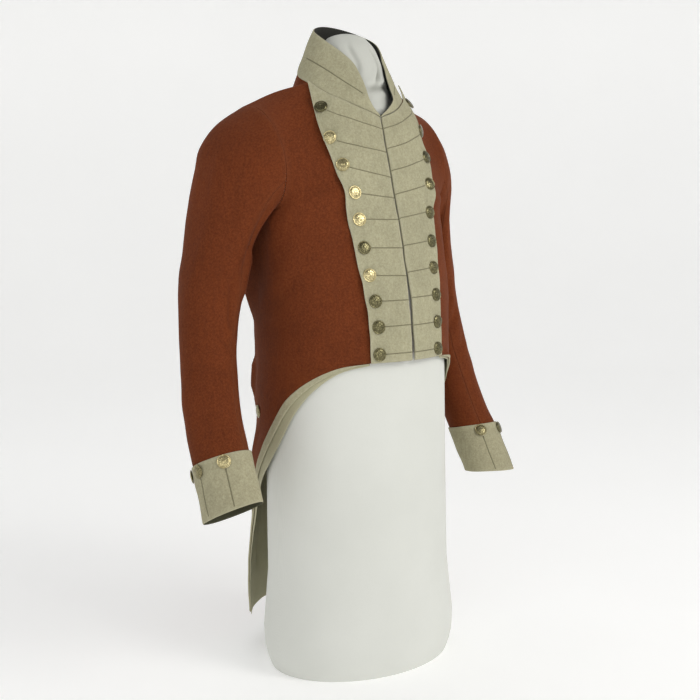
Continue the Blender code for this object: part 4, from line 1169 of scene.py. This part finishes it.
class Look:
    """A material being put together from nodes."""

    def __init__(self, name, inputs):
        material = bpy.data.materials.new(name)
        material.use_nodes = True
        self.tree = material.node_tree
        self.shader = self.tree.nodes["Principled BSDF"]
        self.where = self.node("TexCoord", "Object")
        self.feed(self.shader, inputs)
        MATERIALS[name] = material

    def feed(self, node, inputs):
        """Links or sets a node's inputs, by their names or numbers."""
        for key, value in inputs.items():
            socket = node.inputs[key]
            if isinstance(value, bpy.types.NodeSocket):
                self.tree.links.new(value, socket)
            else:
                socket.default_value = (*value, 1.0) if socket.type == "RGBA" else value

    def node(self, kind, output, inputs=None, **settings):
        """One output of a new node."""
        node = self.tree.nodes.new("ShaderNode" + kind)
        for name, value in settings.items():
            setattr(node, name, value)
        self.feed(node, inputs or {})
        return node.outputs[output]

    def stretched(self, scale):
        return self.node("Mapping", "Vector", {"Vector": self.where, "Scale": scale})

    def noise(self, scale, detail=3.0, rough=0.55, where=None):
        inputs = {"Scale": scale, "Detail": detail, "Roughness": rough}
        return self.node("TexNoise", "Fac", {**inputs, "Vector": where or self.where})

    def wave(self, scale, direction, warp):
        inputs = {"Scale": scale, "Distortion": warp, "Detail": 1.0, "Vector": self.where}
        return self.node("TexWave", "Fac", inputs, bands_direction=direction, wave_profile="SIN")

    def attribute(self, name):
        return self.node("Attribute", "Fac", attribute_name=name)

    def times(self, first, second):
        return self.node("Math", 0, {0: first, 1: second}, operation="MULTIPLY")

    def blend(self, how, share, first, second):
        inputs = {0: share, 6: first, 7: second}
        return self.node("Mix", 2, inputs, data_type="RGBA", blend_type=how)

    def ramp(self, value, *stops):
        """Stops of (place, colour or grey)."""
        colour = self.node("ValToRGB", "Color", {"Fac": value})
        found = colour.node.color_ramp.elements
        while len(found) < len(stops):
            found.new(0.5)
        for stop, (at, shade) in zip(found, stops):
            stop.position = at
            stop.color = (*(shade if isinstance(shade, tuple) else (shade,) * 3), 1.0)
        return colour

    def shaded(self, base, *layers):
        """A colour multiplied by layers of (share, value, stop, stop)."""
        for share, value, *stops in layers:
            base = self.blend("MULTIPLY", share, base, self.ramp(value, *stops))
        return base

    def colour(self, value):
        self.feed(self.shader, {"Base Color": value})

    def bump(self, *layers):
        """Layers of (height, strength, distance), the coarsest first."""
        under = {}
        for height, strength, distance in layers:
            inputs = {"Height": height, "Strength": strength, "Distance": distance, **under}
            under = {"Normal": self.node("Bump", "Normal", inputs)}
        self.feed(self.shader, under)


def matt(name, roughness, sheen, specular=0.2):
    """A cloth's look before its colour."""
    inputs = {"Roughness": roughness, "Sheen Weight": sheen, "Specular IOR Level": specular}
    return Look(name, inputs)


def napped(name, dark, middle, light, worn, sheen, speck, inside):
    """Fulled wool: a short nap that mottles, a finer fibre, and paler rubbed edges."""
    look = matt(name, 0.9, 0.05, 0.12)
    look.feed(look.shader, {"Sheen Roughness": 0.45, "Sheen Tint": sheen})
    nap = look.noise(330.0, 5.0, 0.72)
    brushed = look.noise(150.0, 4.0, 0.65, look.stretched((1.0, 1.0, 0.32)))
    fibre = look.noise(1500.0, 2.0, 0.6)
    wide = look.noise(9.0, 3.0, 0.55)
    base = look.ramp(nap, (0.30, dark), (0.50, middle), (0.72, light))
    base = look.blend("OVERLAY", speck, base, look.ramp(fibre, (0.2, 0.25), (0.8, 0.75)))
    base = look.shaded(
        base, (0.75, wide, (0.25, 0.80), (0.75, 1.12)), (0.45, brushed, (0.3, 0.80), (0.7, 1.15))
    )
    rubbed = look.times(look.attribute("edge"), look.noise(90.0, 3.0, 0.6))
    base = look.blend("MIX", rubbed, base, worn)
    # The inside painted dark where a colour is given: painted shade inside the cuff
    look.colour(look.blend("MIX", look.attribute("inside"), base, inside) if inside else base)
    look.feed(look.shader, {"Roughness": look.ramp(brushed, (0.2, 0.82), (0.8, 0.97))})
    look.bump((brushed, 0.35, 0.0010), (nap, 0.55, 0.0006), (fibre, 0.30, 0.0002))


def twilled(name, dark, light, worn):
    """Lining: a fine slanting weave over a soft variation."""
    look = matt(name, 0.8, 0.04)
    slant = look.wave(620.0, "DIAGONAL", 0.6)
    cross = look.noise(900.0, 2.0, 0.6)
    base = look.shaded(
        look.blend("MIX", look.noise(22.0, 4.0, 0.6), dark, light),
        (0.30, slant, (0.2, 0.78), (0.8, 1.1)), (0.30, cross, (0.2, 0.80), (0.8, 1.15)),
    )
    look.colour(look.blend("MIX", look.times(look.attribute("edge"), 0.4), base, worn))
    look.bump((slant, 0.25, 0.0003), (cross, 0.25, 0.0003))


def materials():
    for name, values in WOOLS.items():
        napped(name, *values)
    for name, values in TWILLS.items():
        twilled(name, *values)

    form = matt("form_cover", 0.85, 0.04)
    knit = form.wave(700.0, "X", 1.2)
    fine = form.noise(1100.0, 2.0, 0.6)
    wide = form.noise(5.0, 4.0, 0.5)
    base = form.shaded(
        form.ramp(wide, (0.3, (0.66, 0.67, 0.625)), (0.7, (0.72, 0.728, 0.685))),
        (0.22, fine, (0.2, 0.86), (0.8, 1.06)), (0.10, knit, (0.2, 0.85), (0.8, 1.05)),
    )
    # The neck painted darker: painted shade against the top light, and in part its greyer cloth
    base = form.blend("MULTIPLY", form.attribute("neck"), base, (0.80, 0.80, 0.78))
    # The neck's creases painted darker: painted shade in the folds
    form.colour(form.blend("MULTIPLY", form.attribute("crease"), base, (0.62, 0.62, 0.60)))
    lumps = form.noise(60.0, 3.0, 0.6)
    form.bump((lumps, 0.12, 0.0012), (knit, 0.14, 0.0002), (fine, 0.20, 0.0002))

    brass = Look("gilt_brass", {"Roughness": 0.30, "Metallic": 0.97})
    grime = brass.noise(330.0, 4.0, 0.65)
    # tone paints each button brighter or duller: its worn gilding, and on the brightest a painted
    # highlight
    tone = brass.attribute("tone")
    worn = brass.ramp(grime, (0.32, 0.0), (0.60, 1.0))
    dull, gilt = (brass.blend("MIX", tone, *shades) for shades in (DULL, GILT))
    toned = brass.blend("MIX", worn, dull, gilt)
    low = brass.blend("MIX", grime, HOLLOW_SHADE, toned)
    # Painted shade in the hollows and a painted highlight on the raised tops
    brass.colour(brass.blend("MIX", brass.attribute("relief_light_and_shade"), low, toned))
    brass.feed(brass.shader, {"Roughness": brass.ramp(grime, (0.25, 0.36), (0.75, 0.19))})
    brass.bump((grime, 0.12, 0.0002), (brass.noise(2600.0, 2.0, 0.5), 0.08, 0.00008))

    thread = matt("thread", 0.8, 0.05)
    twist = thread.noise(1400.0, 2.0, 0.6)
    base = thread.ramp(twist, (0.3, (0.150, 0.137, 0.080)), (0.7, (0.25, 0.232, 0.145)))
    # The eyelet painted dark: painted shade of its hole
    thread.colour(thread.blend("MIX", thread.attribute("dark"), base, (0.050, 0.046, 0.026)))
    thread.bump((twist, 0.5, 0.0003))

    glow = {"Emission Color": (1.0, 1.0, 0.99), "Emission Strength": 0.21}
    floor = Look("floor", {"Roughness": 0.85, **glow})
    pale = floor.noise(1.5, 3.0, 0.5)
    floor.colour(floor.ramp(pale, (0.3, (0.93, 0.93, 0.925)), (0.7, (0.95, 0.95, 0.945))))
    floor.bump((floor.noise(160.0, 3.0, 0.6), 0.05, 0.001))


# The coat


def swell(points, side_name, part, place):
    """How far the cloth stands in or out of its plain form. place reads the creases' points."""
    total = np.zeros(points.shape[:-1])
    for side, depth, width, guides in CREASES[part]:
        if side in (side_name, "both"):
            path = along([place(*guide) for guide in guides])
            total += trough(points, path, width, depth)
    placed = on_side(points, SIDES[side_name])
    return total + sum(ripple(placed, *wave) for wave in CLOTH_WAVES)


def near_armhole(points):
    """1 away from the armhole seam, 0 on it, so that body and sleeve still meet there."""
    ring = armhole(np.linspace(0, 360, 120))
    flat = np.nan_to_num(points.reshape(-1, 3), nan=FAR)
    away = apart(flat[:, None], ring[None]).min(axis=1)
    return ease(away / SEAM_FADE).reshape(points.shape[:-1])


def front_gap(points, side_name):
    """The two front edges run a little unevenly, and part a little at the waist."""
    z = points[..., 2]
    depth, level, reach = WAIST_OPEN
    opening = FRONT_OPEN + depth * bell((z - level) / reach)
    depth, level, reach = HEM_OPEN
    opening += depth * ease((level - z) / reach)
    depth, pace, starts = FRONT_SWAY
    opening += np.abs(depth * np.sin(z * pace + starts[side_name]))
    moved = points.copy()
    moved[..., 0] += np.nan_to_num(opening * np.exp(-points[..., 0] / FRONT_REACH))
    return moved


def pleat_out(points, seam):
    """How far the folded edge beside the pleat line stands out of a fine grid."""
    fold = np.nan_to_num(bell(apart(points, seam[:, None]) / PLEAT_WIDTH))
    starts = np.nan_to_num(ease((PLEAT_TOP - seam[:, 2]) / PLEAT_STARTS))
    return PLEAT_RISE * fold * starts[:, None]


def steady(points, normals, rows, columns):
    """Normals where the grid is squeezed beside the hem's corner, taken from the cloth above."""
    rows, columns = (rows - SKIRT_ROWS)[:, None], columns - LAPEL_COLUMNS
    low, high, wide = SQUEEZED
    squeezed = (rows > low) & (rows < high) & (columns > -TINY) & (columns < wide)
    good = (rows > high + 0.1) & (rows < 2) & (columns > -2)
    sure, known = np.nan_to_num(points[good], nan=FAR), normals[good]
    for place in zip(*np.nonzero(squeezed)):
        normals[place] = known[apart(sure, points[place]).argmin()]


def coat_side(side_name, forepart, back, skirt):
    """The cloth pieces of one side. Gives the surfaces that its buttons and stitches lie on."""
    fine = BODY_FINENESS
    rows = places(len(forepart), fine, (0, SKIRT_ROWS, len(forepart) - 1))
    arm = LAPEL_COLUMNS + CHEST_COLUMNS
    close = (0, LAPEL_COLUMNS, LAPEL_COLUMNS + 1, arm, arm + SIDE_COLUMNS)
    columns = places(forepart.shape[1], fine, close)
    rear_columns = places(back.shape[1], fine, (0, back.shape[1] - 1))
    corners = np.zeros(forepart.shape[:2], bool)
    corners[SKIRT_ROWS, LAPEL_COLUMNS : LAPEL_COLUMNS + 2] = True

    def facings(fore, rear):
        fore_out, rear_out = normals_of(fore), normals_of(rear)
        steady(fore, fore_out, rows, columns)
        meet(fore_out[:, -1], rear_out[:, 0])
        return fore_out, rear_out

    plain_fore = front_gap(finer(forepart, rows, columns, corners), side_name)
    plain = plain_fore, finer(back, rows, rear_columns)
    creased = []
    for points, out in zip(plain, facings(*plain)):
        move = swell(points, side_name, "body", body) * near_armhole(points)
        move *= np.nan_to_num(ease(np.abs(points[..., 0]) / CENTRE_FADE + 0.05))
        creased.append(points + out * move[..., None])
    fore, rear = creased
    fore_out, rear_out = facings(fore, rear)

    below, above = rows <= SKIRT_ROWS + TINY, rows >= SKIRT_ROWS - TINY
    lapel = columns <= LAPEL_COLUMNS + TINY
    turned = (columns >= LAPEL_COLUMNS - TINY) & (columns <= LAPEL_COLUMNS + 1 + TINY)
    red = np.ones(whole(fore).shape, bool)
    red[:, columns[:-1] < EDGE_STEPS[2] - TINY] = False
    folded = turned[:-1] & (columns[:-1] < LAPEL_COLUMNS + EDGE_STEPS[2] - TINY)
    red[np.ix_(rows[1:] < SKIRT_ROWS - 1 + TINY, folded)] = False
    for part, points, out, seam, shown in (
        ("front", fore, fore_out, fore[:, -1], red), ("back", rear, rear_out, rear[:, 0], True)
    ):
        rise = pleat_out(points, seam)
        cloth(part, side_name, shell(points, out, rise - CLOTH, rise, shown), "red_wool")

    strip, out = fore[np.ix_(above, lapel)], fore_out[np.ix_(above, lapel)]
    on_lapel = lapel_facing(side_name, strip, out), out
    turnback(side_name, fore[np.ix_(below, turned)], fore_out[np.ix_(below, turned)])

    surface = fore, fore_out
    edge = int(np.argmin(np.abs(columns - LAPEL_COLUMNS)))
    fore, rear, fore_out = fore[below, edge:], rear[below, 1:], fore_out[below, edge:]
    hem = between(skirt[:, :1], rows[below])[:, 0] + fore[:, 0] - plain_fore[below, edge]
    shares = np.array(LINING_SHARES)[:, None]
    tail = np.concatenate([mix(hem[:, None], fore[:, :1], shares), fore, rear], axis=1)
    out = np.repeat(fore_out[:, :1], len(shares), axis=1)
    out = np.concatenate([out, fore_out, rear_out[below, 1:]], axis=1)
    under = -CLOTH - GAP / 2
    wall = shell(tail, out, under - LINING, under)
    cloth("skirt_lining", side_name, wall, "buff_lining")
    return on_lapel, surface


def lapel_facing(side_name, strip, out):
    """The facing buttoned back on the forepart. Gives its outer surface."""
    uneven = 1 + ripple(on_side(strip, SIDES[side_name]), *LAPEL_WAVE)
    lift = LAPEL_LIFT[side_name] * np.exp(-apart(strip, strip[:, -1:]) / LIFT_REACH) * uneven
    lift += LAPEL_TIP[side_name] * bell(apart(strip, strip[-1, -1]) / TIP_REACH)
    reach, softness = LAPEL_WRAP
    wrapped = CLOTH * ease((reach - apart(strip, strip[:, :1])) / softness)
    top = GAP / 3 + FACING + lift
    wall = shell(strip, out, GAP / 3 + lift - wrapped, top, soft=THICK_SOFT)
    cloth("lapel", side_name, wall, "buff_wool")
    return strip + out * top[..., None]


def turnback(side_name, strip, out):
    """The strip that wraps the edge of the cut-away."""
    away = apart(strip, strip[:, :1])
    reach, softness = TURNBACK_WRAP
    wrapped = CLOTH * ease((reach - away) / softness)
    wrapped *= ease((away[:, -1:] - TURNBACK_LEAST) / TURNBACK_LEAST)
    wall = shell(strip, out, GAP / 3 - wrapped, LINING)
    cloth("turnback", side_name, wall, "buff_wool")


def sleeve_pieces(side_name):
    hang = SLEEVE_HANG[side_name]
    coarse = sleeve_grid(np.linspace(0, SLEEVE_END_ROW, SLEEVE_RINGS + 1), hang)
    turns = sleeve_turns()
    front = int(np.argmin(np.abs(turns - SLEEVE_FRONT_SEAM_TURN)))
    behind = int(np.argmin(np.abs(turns - SEAM_ARMHOLE_TURN)))
    rows = places(len(coarse), SLEEVE_FINENESS[0], (0, len(coarse) - 1))
    columns = places(len(turns), SLEEVE_FINENESS[1], (front, behind))
    grid = finer(coarse, rows, columns, wrap=True)
    out = swell(grid, side_name, "sleeve", lambda row, turn: sleeve(row, turn, hang))
    start, reach = CUFF_FADE
    out *= near_armhole(grid) * (1 - ease((SLEEVE_RINGS - rows - start) / reach))[:, None]
    grid, normals = moved_out(grid, out, wrap=True)
    ahead = np.nonzero(columns >= front - TINY)[0]
    rear = np.nonzero(columns <= behind + TINY)[0]
    under = np.nonzero((columns >= behind - TINY) & (columns <= front + TINY))[0]
    for name, part in ("top_sleeve", np.append(ahead[:-1], rear)), ("under_sleeve", under):
        cloth(name, side_name, shell(grid[:, part], normals[:, part], -CLOTH, 0.0), "red_wool")


def cuff(side_name):
    """The cuff over the sleeve's end. Gives its outer surface."""
    rows = np.linspace(CUFF_TOP_ROW, CUFF_END_ROW, CUFF_RINGS + 1)
    coarse = sleeve_grid(rows, SLEEVE_HANG[side_name])
    fine_rows = places(len(coarse), CUFF_FINENESS[0], (0, CUFF_RINGS))
    fine_columns = places(coarse.shape[1], CUFF_FINENESS[1])
    grid = finer(coarse, fine_rows, fine_columns, wrap=True)
    out = ripple(on_side(grid, SIDES[side_name]), *CUFF_WAVE) + CUFF_OUT
    grid, normals = moved_out(grid, out, wrap=True)
    wall = shell(grid, normals, GAP, GAP + CLOTH, wrap=True, soft=THICK_SOFT)
    cloth("cuff", side_name, wall, "cuff_wool")
    return grid + normals * (GAP + CLOTH), normals


def collar():
    """The collar and its dark lining. Gives its outer surface."""
    coarse = collar_grid() + np.array([0.0, 0.0, GAP])
    rows, columns = coarse.shape[:2]
    fine_rows = places(rows, COLLAR_FINENESS, (0, COLLAR_ROWS))
    grid = finer(coarse, fine_rows, places(columns, COLLAR_FINENESS, (0, columns - 1)))
    up = np.linspace(0, 1, len(grid))[:, None]
    sway = ripple(grid, *COLLAR_WAVE) + COLLAR_BULGE * np.sin(math.pi * up)
    grid, normals = moved_out(grid, sway * ease(up * 4))
    wall = shell(grid, normals, -FACING, 0.0, soft=COLLAR_SOFT)
    cloth("collar", None, wall, "buff_wool")
    left, rear = ease((grid[..., 0] + 0.02) / 0.03), ease((grid[..., 1] - 0.02) / 0.02)
    higher = LINING_SHOWS * np.maximum(left, rear) * ease((up - LINING_FROM) / (1 - LINING_FROM))
    lining = grid.copy()
    lining[..., 2] += higher
    under = -FACING - GAP
    wall = shell(lining[1:], normals[1:], under - LINING, under)
    cloth("collar_lining", None, wall, "dark_lining")
    return grid, normals


def nearest(surface, spot):
    """The place of a fine surface nearest to a spot, and the way out of it there."""
    points, normals = surface
    away = apart(np.nan_to_num(points, nan=FAR), spot)
    place = np.unravel_index(away.argmin(), away.shape)
    return spot - normals[place] * ((spot - points[place]) @ normals[place]), normals[place]


def buttonhole(surface, guide, eyelet_size):
    """A worked line past some spots of a surface, with its eyelet at the first."""
    length = lengths(guide)[-1]
    count = max(24, int(length / LINE_STEP))
    spots = along(guide, count)[:: max(1, count // 14)]
    path, outward = (along(line, count) for line in zip(*(nearest(surface, s) for s in spots)))
    return stitched(path, unit(outward), length, OTHER_LINE, eyelet_size)


def worked_lines(side_name, surface, spots):
    """The line from every lapel button to the front edge."""
    points, parts = surface[0], []
    for spot, drop in zip(spots, LINE_DROPS[side_name]):
        away = apart(points, spot)
        row, column = np.unravel_index(away.argmin(), away.shape)
        past = np.nonzero(away[row, :column] > BUTTON_RADIUS + LINE_CLEAR)[0].max()
        base = points[row, :, 2] + spot[2] - points[row, column, 2]
        guide = []
        for pick in np.linspace(past, 1, 9).round().astype(int):
            share = 1 - (pick - 1) / max(past - 1, 1)
            line = points[:, pick]
            height = base[pick] - drop * share
            guide.append(np.array([np.interp(height, line[:, 2], line[:, k]) for k in range(3)]))
        start = 1 - (BUTTON_RADIUS + LINE_START) / apart(spot, guide[0])
        guide = np.array([mix(guide[0], spot, start)] + guide)
        length = lengths(guide)[-1]
        count = max(24, int(length / LINE_STEP))
        path = along(guide, count)
        outward = along([nearest(surface, place)[1] for place in path[:: count // 8]], count)
        parts.append(stitched(path, unit(outward), length, LAPEL_LINE))
    put_threads(f"buttonholes_{side_name}", parts, SIDES[side_name])


# The form


class FormMesh:
    """The display form: the coat's own skin moved in, closed at the arms, neck and base."""

    def __init__(self):
        self.index = {}
        self.points = []
        self.outward = []
        self.faces = []

    def place(self, point, normal=None):
        key = tuple(np.round(point * 2e4).astype(int))
        if key not in self.index:
            self.index[key] = self.new(point)
            self.outward.append(normal)
        return self.index[key]

    def new(self, point):
        self.points.append(np.array(point))
        return len(self.points) - 1

    def skin(self, points, normals, side):
        points, normals = on_side(points, side), on_side(normals, side)
        for i, j in zip(*np.nonzero(whole(points))):
            corners = ((i, j), (i, j + 1), (i + 1, j + 1), (i + 1, j))
            found = [self.place(points[at], normals[at]) for at in corners]
            self.faces.append(found[::-1] if side < 0 else found)

    def bridge(self, low, high):
        self.faces += tube([low, high]).tolist()

    def fan(self, loop, centre):
        self.faces += fan(self.new(centre), loop)


def round_loop(left_half):
    """A closed loop from the points of its left half, centre front first and back last."""
    return np.concatenate([left_half, on_side(left_half[-2:0:-1], -1.0)])


def column_points(turn, height):
    """Points of the form's column, by turn from the front and height."""
    row = read(COLUMN, height)
    x, y = row[..., 1] * np.sin(turn), -row[..., 2] * np.cos(turn)
    return np.stack([x, y, height + 0.0 * turn], -1)


def display_form(forepart, back):
    """Column, body and neck, one closed smooth piece inside the coat."""
    form = FormMesh()
    fine = FORM_FINENESS
    fore, rear = (
        finer(grid, places(len(grid), fine), places(grid.shape[1], fine))
        for grid in (forepart[SKIRT_ROWS:], back[SKIRT_ROWS:])
    )
    fore_out, rear_out = normals_of(fore), normals_of(rear)
    chest, arm = TORSO_ROWS * fine, (LAPEL_COLUMNS + CHEST_COLUMNS) * fine
    meet(fore_out[: chest + 1, -1], rear_out[: chest + 1, 0])
    for side in (1.0, -1.0):
        form.skin(fore, fore_out, side)
        form.skin(rear, rear_out, side)
    waist = round_loop(np.concatenate([fore[0], rear[0, 1:]]))
    front_neck = fore[-1, : LAPEL_COLUMNS * fine + 1]
    neck = round_loop(np.concatenate([front_neck, rear[-1, SHOULDER_COLUMNS * fine + 1 :]]))
    under_arm = fore[chest, arm + 1 : -1]
    armholes = np.concatenate([fore[chest:, arm], rear[chest:-1, 0][::-1], under_arm[::-1]])
    waist_loop = [form.place(p) for p in waist]
    neck_loop = [form.place(p) for p in neck]
    arm_loops = [[form.place(on_side(p, side)) for p in armholes] for side in (1.0, -1.0)]

    points, outward = np.array(form.points), np.array(form.outward)
    height = points[:, 2]
    upward = ease((outward[:, 2:] - FORM_UPWARD) / FORM_UPWARD)
    clearance = mix(FORM_CLEARANCE, FORM_REST, upward)
    inward = outward * (CLOTH + clearance)
    inward[np.abs(points[:, 0]) < TINY, 0] = 0.0
    straight = column_points(np.radians(angle_of(points)), height)
    low, high = FORM_MEETS_COAT
    in_coat = ease((height - low) / (high - low))[:, None]
    form.points = list(mix(straight, points - inward, in_coat))

    turns = np.radians(angle_of(waist))
    below = waist_loop
    for level in FORM_LEVELS:
        ring = [form.new(p) for p in column_points(turns, level)]
        form.bridge(ring, below)
        below = ring
    form.fan(below[::-1], (0.0, 0.0, 0.0))
    neck_rings(form, neck_loop)
    for loop, turned in zip(arm_loops, (-1, 1)):
        form.fan(loop[::turned], np.mean([form.points[k] for k in loop], axis=0))
    return np.array(form.points), form.faces


def neck_fold(turn, height):
    """Creases of the cloth round the neck, by degrees from the front and height."""
    total = np.zeros(len(turn))
    for depth, width, line in NECK_CREASES:
        path = along(line, NECK_FOLD_STEPS)
        aside = (path[:, 0] - turn[:, None]) * METRES_A_DEGREE
        away = np.hypot(aside, path[:, 1] - height[:, None])
        near = away.min(axis=1) / width
        share = away.argmin(axis=1) / (NECK_FOLD_STEPS - 1)
        fade = ease(FOLD_ENDS[0] * np.minimum(share, 1 - share) + FOLD_ENDS[1])
        total += depth * fade * (FOLD_SWELL[0] * bell(near - FOLD_SWELL[1]) - bell(near))
    return total


def neck_rings(form, loop):
    """From the neck seam a short step in, then up the neck to its rounded top."""
    step = np.array([form.points[k] for k in loop])
    step[:, :2] += unit(np.array(NECK_MIDDLE) - step[:, :2]) * NECK_STEP
    top, middle = NECK[-1][0], NECK[-1][3]
    drawn, level, over = NECK_SLIM
    rings = [step]
    for share in NECK_SHARES:
        height = mix(step[:, 2], top, share)
        row = read(NECK, height)
        turn = np.arctan2(step[:, 0], row[:, 3] - step[:, 1])
        fold = neck_fold(np.degrees(turn), height) * ease(share / FOLD_START)
        slim = 1 - drawn * ease((height - level) / over)
        wide, deep = row[:, 1] * slim + fold, row[:, 2] * slim + fold
        spots = np.stack([wide * np.sin(turn), row[:, 3] - deep * np.cos(turn), height], -1)
        spots = mix(step, spots, ease(share / NECK_BLEND))
        spots[:, 2] = height
        rings.append(spots)
    rim, centre = rings[-1], np.array([0.0, middle, NECK_TOP])
    for share in TOP_SHARES:
        spots = mix(centre, rim, share)
        spots[:, 2] = NECK_TOP - (NECK_TOP - top) * share**TOP_ROUNDNESS
        rings.append(spots)
    for spots in rings:
        ring = [form.new(p) for p in spots]
        form.bridge(loop, ring)
        loop = ring
    form.fan(loop, centre)


def form_cover(forepart, back):
    points, faces = display_form(forepart, back)
    # The neck painted darker: painted shade against the top light, and in part its greyer cloth
    start, over = NECK_SHADED
    neck = np.clip((points[:, 2] - start) / over, 0, 1)
    x, y, height = points[neck > 0].T
    turn = np.degrees(np.arctan2(x, NECK[2][3] - y))
    # Painted shade in the neck's creases, by their depth
    crease = np.zeros(len(points))
    crease[neck > 0] = np.clip(-neck_fold(turn, height) / FOLD_SHADE, 0, 1)
    shades = {"neck": neck, "crease": crease}
    nodes = ("display_form",)
    put("display_form_cover", points, faces, "form_cover", nodes=nodes, shades=shades)


# Round it


def backdrop():
    """A pale floor that curves up into a wall all round."""
    flat, radius, top, sides = BACKDROP
    bends = np.linspace(0, math.pi / 2, 14)[1:]
    curve = [(flat + radius * math.sin(t), radius * (1 - math.cos(t))) for t in bends]
    profile = np.array([(1.0, 0.0), (2.2, 0.0), (flat, 0.0), *curve, (flat + radius, top)])
    reach, height = profile.T[..., None]
    turns = np.arange(sides) * 2 * math.pi / sides
    rings = np.stack([reach * np.cos(turns), reach * np.sin(turns), height + 0 * turns], -1)
    index = 1 + np.arange(reach.size * sides).reshape(-1, sides)
    faces = fan(0, index[0]) + tube(index)[:, [0, 3, 2, 1]].tolist()
    points = np.concatenate([np.zeros((1, 3)), rings.reshape(-1, 3)])
    smooth_piece("backdrop", points, faces, "floor")


def light(name, place, aim, size, power, colour):
    lamp = bpy.data.lights.new(name, "AREA")
    lamp.shape = "DISK"
    lamp.size = size
    lamp.energy = power
    lamp.color = colour
    holder = bpy.data.objects.new(name, lamp)
    bpy.context.collection.objects.link(holder)
    holder.location = place
    holder.rotation_euler = (Vector(aim) - Vector(place)).to_track_quat("-Z", "Y").to_euler()


def lights_and_camera():
    world = bpy.data.worlds.new("studio")
    world.use_nodes = True
    background = world.node_tree.nodes["Background"].inputs
    background["Color"].default_value = (1.0, 1.0, 1.0, 1.0)
    background["Strength"].default_value = SKY
    scene = bpy.context.scene
    scene.world = world
    scene.view_settings.view_transform = "Standard"
    scene.view_settings.look = "None"
    for row in LIGHTS:
        light(*row)

    turn, pitch, roll = (math.radians(VIEW[name]) for name in ("azimuth", "pitch", "roll"))
    back = np.array([math.sin(turn), -math.cos(turn), 0.0])
    right = np.array([math.cos(turn), math.sin(turn), 0.0])
    up = np.array([0.0, 0.0, 1.0])
    forward = -back * math.cos(pitch) - up * math.sin(pitch)
    top = np.cross(right, forward)
    across = right * math.cos(roll) + top * math.sin(roll)
    above = -right * math.sin(roll) + top * math.cos(roll)
    place = back * VIEW["distance"] + right * VIEW["aim"] + up * VIEW["height"] + PLACE
    camera = bpy.data.cameras.new("camera")
    camera.sensor_width = 36.0
    camera.lens = VIEW["lens"]
    holder = bpy.data.objects.new("camera", camera)
    bpy.context.collection.objects.link(holder)
    matrix = np.eye(4)
    matrix[:3] = np.stack([across, above, -forward, place], -1)
    holder.matrix_world = Matrix(matrix.tolist())
    scene.camera = holder


def main():
    materials()
    forepart, back, skirt = full_grids()
    hip = body(read(PLEAT, HIP_BUTTON_LEVEL)[1] - HIP_BUTTON_ASIDE, HIP_BUTTON_LEVEL)
    seeds = itertools.count(FIRST_SEED)
    for side_name, side in SIDES.items():
        on_lapel, on_front = coat_side(side_name, forepart, back, skirt)
        sleeve_pieces(side_name)
        on_cuff = cuff(side_name)
        spots = list(lapel_button_spots(forepart[SKIRT_ROWS:], side_name))
        worked_lines(side_name, on_lapel, spots)

        def button(name, surface, spot, tone, lean=0.0):
            put_button(name, *nearest(surface, spot), side_name, next(seeds), tone, lean)

        tones = BUTTON_WEAR_AND_HIGHLIGHT["lapel", side_name]
        for k, (spot, tone) in enumerate(zip(spots, tones), start=1):
            name = f"lapel_button_{side_name}_{k:02d}"
            button(name, on_lapel, spot, tone, BUTTON_LEAN[side_name])
        parts = []
        turns, tones = CUFF_BUTTON_TURNS[side_name], BUTTON_WEAR_AND_HIGHLIGHT["cuff", side_name]
        spots = cuff_button_spots(side_name)
        for k, (spot, turn, tone) in enumerate(zip(spots, turns, tones), start=1):
            button(f"cuff_button_{side_name}_{k}", on_cuff, spot, tone)
            line = [sleeve(row, turn, SLEEVE_HANG[side_name]) for row in CUFF_LINE_ROWS]
            parts.append(buttonhole(on_cuff, np.array(line), CUFF_EYELET))
        put_threads(f"cuff_buttonholes_{side_name}", parts, side)
        button(f"hip_button_{side_name}", on_front, hip, HIP_TONE)

    on_collar = collar()
    guide = np.array(COLLAR_BUTTONHOLE)
    parts = [buttonhole(on_collar, on_side(guide, side), 0.0) for side in (1.0, -1.0)]
    put_threads("collar_buttonholes", parts)
    form_cover(forepart, back)
    backdrop()
    lights_and_camera()


MATERIALS = {}
main()
